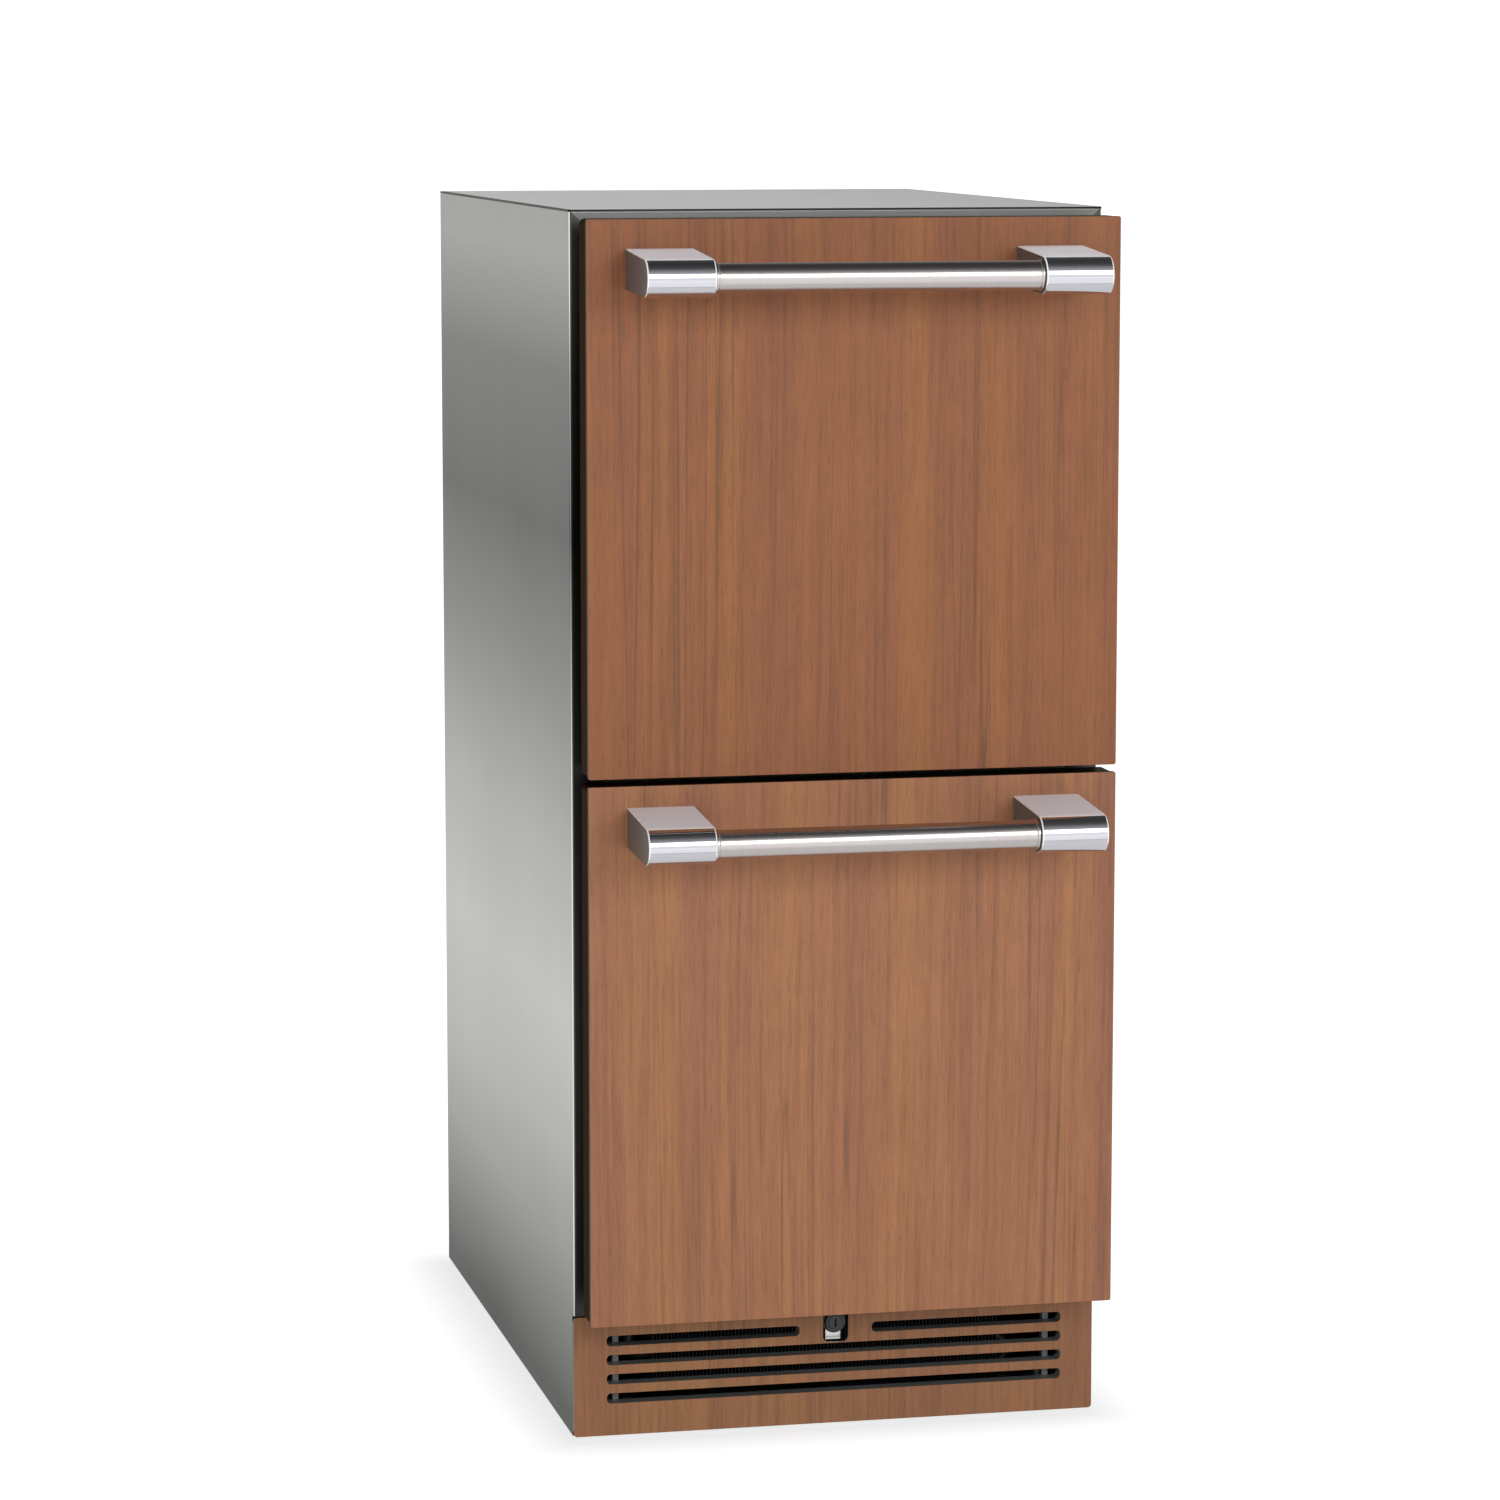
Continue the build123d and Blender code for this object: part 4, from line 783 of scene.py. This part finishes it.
def makeCoil(node, name, slot, finish, tubeSlot, rows):
    low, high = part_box(node)
    half = high.x - coil["tubeRadius"] - coil["bendReach"]
    size = (coil["finThick"], high.y - low.y, rows * coil["rowPitch"])
    count = int(2 * half / coil["finPitch"])
    base = (-count * coil["finPitch"] / 2, (low.y + high.y) / 2, (low.z + high.z) / 2)
    fins = grow(f"{name}Fins", finGroup, {"Count": count + 1, "Pitch": coil["finPitch"],
                                          "Plate": size, "Finish": finish}, [base])
    place(fins, "cabinet", slot, finish, node)
    heights = [low.z + coil["rowPitch"] * (i + 0.5) for i in range(rows)]
    columns = [low.y + (high.y - low.y) * share for share in (0.25, 0.75)]
    reach = high.x - coil["tubeRadius"]
    points, side = [], -1
    for y, order in zip(columns, (heights, heights[::-1])):
        for z in order:
            points += [(side * reach, y, z), (-side * reach, y, z)]
            side = -side
    edges = [(i, i + 1) for i in range(len(points) - 1)]
    tube = grow(f"{name}Tube", pipeGroup, {"Radius": coil["tubeRadius"], "Bend": coil["bend"],
                                           "Finish": slotFinish[tubeSlot]}, points, edges, 40)
    place(tube, "cabinet", tubeSlot, slotFinish[tubeSlot])


makeCoil("condenser_coil", "condenser", "black_paint", slotFinish["black_paint"],
         "black_paint", 3)
makeCoil("evaporator_coil", "evaporator", "coil_aluminium", slotFinish["coil_aluminium"],
         "copper", 5)
print("coils")


# Gaskets

gasket = {
    "corner": 6.0 * mm,
    # the ring's cut, as (distance in from its outer edge, share of its depth)
    "cut": [(0.2, 0.0), (16.8, 0.0), (17.0, 0.03), (17.0, 0.17), (16.6, 0.21), (13.6, 0.24),
            (13.2, 0.30), (13.4, 0.40), (16.3, 0.50), (16.9, 0.60), (17.0, 0.86), (16.5, 0.96),
            (15.4, 1.0), (1.6, 1.0), (0.5, 0.96), (0.0, 0.86), (0.1, 0.60), (0.7, 0.50),
            (3.6, 0.40), (3.8, 0.30), (3.4, 0.24), (0.4, 0.21), (0.0, 0.17), (0.0, 0.03)],
}


def makeGasket(key):
    low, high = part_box(f"{key}_gasket")
    middle = (low + high) / 2
    loops = []
    for inset, share in gasket["cut"]:
        inset *= mm
        y = low.y + (high.y - low.y) * share
        ring = roundedRectangle(high.x - middle.x - inset, high.z - middle.z - inset,
                                max(gasket["corner"] - inset, 0.6 * mm), 5)
        loops.append([(middle.x + x, y, middle.z + z) for x, z in ring])
    ring = loft(f"{key}GasketRing", loops, closedUp=True, smooth=50)
    place(ring, f"{key}_drawer", "black_rubber", slotFinish["black_rubber"], f"{key}_gasket")


for key in ("upper", "lower"):
    makeGasket(key)
print("gaskets")


# Fans

fan = {"blades": 5, "hubRadius": 13.0 * mm, "shaftRadius": 2.5 * mm, "hubLength": 16.0 * mm,
       "rootChord": 15.0 * mm, "tipChord": 27.0 * mm, "rootPitch": 38, "tipPitch": 24,
       "camber": 1.6 * mm, "thickness": 1.5 * mm, "sections": 9, "cuts": 8}


def bladeSection(share, radius):
    # a thin bowed cut at one radius, as (tangential, axial)
    chord = fan["rootChord"] + (fan["tipChord"] - fan["rootChord"]) * math.sin(share * 2.2)
    pitch = math.radians(fan["rootPitch"] + (fan["tipPitch"] - fan["rootPitch"]) * share)
    upper, lower = [], []
    for i in range(fan["cuts"] + 1):
        along = i / fan["cuts"]
        bow = fan["camber"] * 4 * along * (1 - along)
        half = fan["thickness"] / 2 * (0.3 + 2.8 * along * (1 - along))
        upper.append(((along - 0.5) * chord, bow + half))
        lower.append(((along - 0.5) * chord, bow - half))
    turned = [(t * math.cos(pitch) - a * math.sin(pitch), t * math.sin(pitch) + a * math.cos(pitch))
              for t, a in upper + lower[::-1]]
    return [(t + 0.18 * (radius - fan["hubRadius"]), a) for t, a in turned]


def makeFan(name, node):
    low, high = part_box(node)
    reach = (high.x - low.x) / 2 - 0.2 * mm
    middle = Vector(((low.x + high.x) / 2, low.y + fan["hubLength"] / 2, (low.z + high.z) / 2))
    half, hub, shaft = fan["hubLength"] / 2, fan["hubRadius"], fan["shaftRadius"]
    profile = [(-half, 0.4 * hub), (-half * 0.97, 0.75 * hub), (-half * 0.85, 0.93 * hub),
               (-half * 0.6, hub), (half, hub), (half, shaft), (high.y - middle.y, shaft)]
    parts = [lathe("hub", profile, middle, "Y", 48)]
    root = hub - 1.5 * mm
    for number in range(fan["blades"]):
        turn = 2 * math.pi * number / fan["blades"]
        loops = []
        for i in range(fan["sections"] + 1):
            share = i / fan["sections"]
            radius = root + (reach - root) * share
            loops.append([(middle.x + radius * math.cos(turn + t / radius), middle.y + a,
                           middle.z + radius * math.sin(turn + t / radius))
                          for t, a in bladeSection(share, radius)])
        parts.append(loft("blade", loops))
    piece = joined(name, parts)
    place(piece, node, "black_plastic", slotFinish["black_plastic"], node)


makeFan("coolingFanWheel", "cooling_fan")
makeFan("coldFanWheel", "evaporator_fan")
print("fans")


# Levelling legs

leg = {"footRadius": 16.0 * mm, "footHeight": 3.9 * mm, "crest": 4.95 * mm, "root": 4.3 * mm,
       "pitch": 1.5 * mm, "flank": 0.45 * mm, "flat": 0.25 * mm}


def makeLeg(corner):
    node = f"leg_{corner}"
    low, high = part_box(node)
    foot, root = leg["footRadius"], leg["root"]
    profile = [(0.0, foot - 0.7 * mm), (0.2 * mm, foot - 0.25 * mm), (0.7 * mm, foot),
               (leg["footHeight"] - 0.9 * mm, foot), (leg["footHeight"] - 0.1 * mm, foot - 0.8 * mm),
               (leg["footHeight"], foot - 1.0 * mm), (leg["footHeight"], root)]
    z = leg["footHeight"] + 0.8 * mm
    while z + leg["pitch"] < high.z - 1.2 * mm:
        top = z + leg["flank"] + leg["flat"]
        profile += [(z, root), (z + leg["flank"], leg["crest"]), (top, leg["crest"]),
                    (top + leg["flank"], root)]
        z += leg["pitch"]
    profile += [(high.z - 0.6 * mm, root), (high.z, root - 0.6 * mm)]
    centre = ((low.x + high.x) / 2, (low.y + high.y) / 2, 0.0)
    piece = lathe(f"leg{corner.title().replace('_', '')}", profile, centre, "Z", 48, 25)
    place(piece, node, "zinc_screws", slotFinish["zinc_screws"], node)


for corner in ("front_left", "front_right", "rear_left", "rear_right"):
    makeLeg(corner)
print("legs")


# Screws of the rear covers

rearScrew = {"radius": 4.0 * mm, "rise": 1.8 * mm, "recess": 1.0 * mm, "arm": 2.1 * mm,
             "slot": 0.45 * mm, "x": 177.8 * mm,
             "heights": [16.2, 226.2, 249.2, 399.8, 550.4, 701.0, 851.6]}


def screwHead():
    # pan head with a cross recess, standing on y = 0
    size, rise = rearScrew["radius"], rearScrew["rise"]
    profile = [(0.0, size), (rise * 0.35, size), (rise * 0.6, size * 0.94), (rise * 0.82, size * 0.8),
               (rise * 0.95, size * 0.58), (rise, size * 0.3)]
    head = lathe("screwHead", profile, (0, 0, 0), "Y", 40, 35)
    arm, slot = rearScrew["arm"], rearScrew["slot"]
    plus = [(arm, slot), (slot, slot), (slot, arm), (-slot, arm), (-slot, slot), (-arm, slot),
            (-arm, -slot), (-slot, -slot), (-slot, -arm), (slot, -arm), (slot, -slot), (arm, -slot)]
    bottom = rise - rearScrew["recess"]
    cutter = loft("recess", [[(x, y, z) for x, z in plus] for y in (bottom, rise + 1 * mm)])
    made = head.modifiers.new("recess", "BOOLEAN")
    made.operation, made.object, made.solver = "DIFFERENCE", cutter, "EXACT"
    depsgraph = bpy.context.evaluated_depsgraph_get()
    mesh = bpy.data.meshes.new_from_object(head.evaluated_get(depsgraph), depsgraph=depsgraph)
    head.modifiers.clear()
    head.data = mesh
    bpy.data.objects.remove(cutter)
    return head


def makeRearScrews():
    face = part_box("back_panel")[1].y
    spots = [(side * rearScrew["x"], face, z * mm) for side in (-1, 1)
             for z in rearScrew["heights"]]
    head = screwHead()
    heads = grow("rearScrewHeads", pointTree("screwHeads"),
                 {"Part": head, "Turn": math.pi / 2, "Seed": 7,
                  "Finish": slotFinish["zinc_screws"]}, spots)
    bpy.data.objects.remove(head)
    shadeRound(heads, 35)
    place(heads, "cabinet", "zinc_screws", slotFinish["zinc_screws"], "rear_screws")


makeRearScrews()
print("rear screws")


# Balls of the telescopic slides

ball = {"radius": 1.6 * mm, "pitch": 9.0 * mm, "end": 6.0 * mm,
        "tracks": [(144.3, 19.55), (141.5, 14.85)]}     # x, and height from the slide's middle


def makeBalls(key, group):
    low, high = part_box(f"{key}_slide_middle")
    middle = (low.z + high.z) / 2
    points = []
    for x, rise in ball["tracks"]:
        for sx in (-1, 1):
            for sz in (-1, 1):
                for y in (low.y + ball["end"], high.y - ball["end"]):
                    points.append((sx * x * mm, y, middle + sz * rise * mm))
    edges = [(i, i + 1) for i in range(0, len(points), 2)]
    row = grow(f"{key}SlideBalls", group, {"Radius": ball["radius"], "Pitch": ball["pitch"],
                                           "Finish": slotFinish["zinc_screws"]}, points, edges, 60)
    place(row, f"{key}_slide", "zinc_screws", slotFinish["zinc_screws"])


ballGroup = ballTree()
for key in ("upper", "lower"):
    makeBalls(key, ballGroup)
print("slide balls")


# Lock

lock = {"edge": 0.25 * mm, "faceDepth": -208.0 * mm}


def makeLock():
    housing = eased("lockHousing", "lock_housing", lock["edge"])
    place(housing, "cabinet", "black_paint", slotFinish["black_paint"], "lock_housing")
    plug = eased("lockPlug", "lock_plug", lock["edge"] * 0.8)
    place(plug, "lock_plug", "nickel", slotFinish["nickel"], "lock_plug")
    plug.data.materials.append(keyway)
    for face in plug.data.polygons:
        if face.center.y < lock["faceDepth"]:
            face.material_index = 1


makeLock()
print("lock")


# Sheet, moulded and folded parts that only need their edges rounded off, in millimetres

edgeWidth = {
    "grille_veneer": 0.2, "toe_grille": 0.2, "grille_brackets": 0.3, "bottom_rail": 0.25,
    "mullion": 0.25, "back_panel": 0.3, "rear_cover": 0.3, "base_pan": 0.3, "machine_deck": 0.25,
    "evaporator_cover": 0.25, "upper_drawer_pan": 0.3, "lower_drawer_pan": 0.3,
    "upper_inner_door": 1.0, "lower_inner_door": 1.0, "upper_bin": 0.3, "lower_bin": 0.3,
    "slide_outer_members": 0.2, "upper_slide_middle": 0.2, "lower_slide_middle": 0.2,
    "upper_slide_inner": 0.2, "lower_slide_inner": 0.2, "control_module": 0.7,
    "start_relay": 1.5, "condensate_tray": 0.4, "compressor_grommets": 0.8,
    "cooling_fan_shroud": 0.4, "fan_motors": 0.6, "cord_gland": 0.6, "light_strip": 0.4,
    "compressor": 0.5, "upper_handle_screws": 0.4, "lower_handle_screws": 0.4,
}
slotOf = {row["node"]: row["material_slot"] for row in frame["record"]["subparts"]}


def camel(node):
    first, *rest = node.split("_")
    return first + "".join(word.title() for word in rest)


for node, width in edgeWidth.items():
    slot = slotOf[node]
    piece = eased(f"{camel(node)}Eased", node, width * mm)
    place(piece, nodes[node]["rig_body"], slot, ownFinish.get(node, slotFinish[slot]), node)
print("eased parts")


# Camera, light and floor

light = {
    "strength": 1.05,
    "depth": [(-1.0, 1.0), (0.0, 0.92), (0.5, 0.65), (1.0, 0.65)],    # from front to back
    "height": [(-1.0, 1.0), (0.22, 1.0), (0.36, 0.55), (0.66, 0.30), (0.84, 0.10), (1.0, 0.04)],
    "sky": 1.05,                # to the eye
    "floorGrey": 0.3,
    "floorReach": 40.0,
    "contact": 0.075,           # reach of the painted contact shadow at the foot
    "shade": (0.72, 1.06),      # the floor's own light to the eye, at the foot and past the shade; lower at the foot as a painted contact shadow
    # what mirrors see of the floor, as (y, tone)
    "floor": [(-1.02, 0.92), (-0.98, 0.45), (-0.92, 0.45), (-0.88, 0.66), (0.3, 0.6), (1.2, 0.8)],
}
view = {"place": (-0.811, -3.607, 0.956), "yaw": 0.2172, "pitch": 0.1337, "lens": 120.84}
camera = bpy.data.objects.new("camera", bpy.data.cameras.new("camera"))
scene.collection.objects.link(camera)
camera.location = view["place"]
camera.rotation_euler = (math.pi / 2 - view["pitch"], 0, -view["yaw"])
camera.data.lens = view["lens"]
camera.data.clip_end = 200
scene.camera = camera


def softbox(name, where, aim, size, power, mirrored=True):
    lamp = bpy.data.lights.new(name, "AREA")
    lamp.shape, lamp.size, lamp.size_y = "RECTANGLE", *size
    lamp.energy = power
    holder = bpy.data.objects.new(name, lamp)
    holder.location = where
    aimed = Vector(aim) - Vector(where)
    holder.rotation_euler = aimed.to_track_quat("-Z", "Y").to_euler()
    holder.visible_glossy = mirrored
    scene.collection.objects.link(holder)


softbox("keyFront", (0.9, -4.6, 1.95), (0, -0.2, 0.5), (4.6, 1.6), 86)
softbox("overhead", (0.1, 0.2, 3.4), (0, 0, 0.8), (1.6, 1.6), 22, mirrored=False)


def makeSky():
    # white to the eye; for light and mirrors a bright low front, dark overhead, grey behind
    world = bpy.data.worlds.new("studio")
    scene.world = world
    world.use_nodes = True
    tree = world.node_tree
    way = tree.nodes.new("ShaderNodeTexCoord").outputs["Generated"]
    split = tree.nodes.new("ShaderNodeSeparateXYZ")
    tree.links.new(way, split.inputs["Vector"])

    def tones(axis, stops):
        place = tree.nodes.new("ShaderNodeMapRange")
        place.inputs["From Min"].default_value = -1.0
        tree.links.new(split.outputs[axis], place.inputs["Value"])
        ramp = tree.nodes.new("ShaderNodeValToRGB")
        while len(ramp.color_ramp.elements) < len(stops):
            ramp.color_ramp.elements.new(0.5)
        for element, (spot, tone) in zip(ramp.color_ramp.elements, stops):
            element.position, element.color = spot / 2 + 0.5, (tone, tone, tone, 1)
        tree.links.new(place.outputs["Result"], ramp.inputs["Fac"])
        return ramp.outputs["Color"]

    product = tree.nodes.new("ShaderNodeMix")
    product.data_type, product.blend_type = "RGBA", "MULTIPLY"
    product.inputs[0].default_value = 1.0
    tree.links.new(tones("Y", light["depth"]), product.inputs[6])
    tree.links.new(tones("Z", light["height"]), product.inputs[7])
    sky = tree.nodes["Background"]
    tree.links.new(product.outputs[2], sky.inputs["Color"])
    sky.inputs["Strength"].default_value = light["strength"]
    bright = tree.nodes.new("ShaderNodeBackground")
    bright.inputs["Color"].default_value = (1, 1, 1, 1)
    bright.inputs["Strength"].default_value = light["sky"]
    mix = tree.nodes.new("ShaderNodeMixShader")
    seen = tree.nodes.new("ShaderNodeLightPath").outputs["Is Camera Ray"]
    tree.links.new(seen, mix.inputs["Fac"])
    tree.links.new(sky.outputs["Background"], mix.inputs[1])
    tree.links.new(bright.outputs["Background"], mix.inputs[2])
    tree.links.new(mix.outputs["Shader"], tree.nodes["World Output"].inputs["Surface"])


makeSky()


def makeFloor():
    reach, grey = light["floorReach"], light["floorGrey"]
    points = [(-reach, -reach, 0), (reach, -reach, 0), (reach, reach, 0), (-reach, reach, 0)]
    floor = meshPiece("studioFloor", points, [(0, 1, 2, 3)])
    coat = Finish("paleFloor", (grey, grey, grey, 1.0), rough=0.9, Specular_IOR_Level=0.1,
                  Emission_Color=(1, 1, 1, 1))
    spot = coat.node("ShaderNodeSeparateXYZ", {"Vector": coat.coordinates}).outputs
    across, depth = spot["X"], spot["Y"]

    def beyond(value, low, high):
        outside = coat.maths("MAXIMUM", coat.maths("SUBTRACT", low, value),
                             coat.maths("SUBTRACT", value, high))
        return coat.maths("MAXIMUM", outside, 0.0)

    front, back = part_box("grille_veneer")[0].y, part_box("back_panel")[1].y
    around = coat.node("ShaderNodeCombineXYZ", {
        "X": beyond(across, cadBounds[0][0], cadBounds[1][0]),
        "Y": beyond(depth, front, back)}).outputs["Vector"]
    away = coat.node("ShaderNodeVectorMath", {0: around}, operation="LENGTH").outputs["Value"]
    # painted contact shadow: the floor glows less near the cabinet's footprint
    shown = coat.range(away, 0.0, light["contact"], *light["shade"])
    stops = light["floor"]
    cast = stops[0][1]
    for (start, tone), (end, following) in zip(stops, stops[1:]):
        cast = coat.maths("ADD", cast, coat.range(depth, start, end, 0.0, following - tone))
    seen = coat.node("ShaderNodeLightPath").outputs["Is Camera Ray"]
    mixed = coat.maths("ADD", coat.maths("MULTIPLY", shown, seen),
                       coat.maths("MULTIPLY", cast, coat.maths("SUBTRACT", 1.0, seen)))
    coat.feed("Emission Strength", mixed)
    floor.data.materials.append(coat.material)


makeFloor()
print("camera, light and floor")
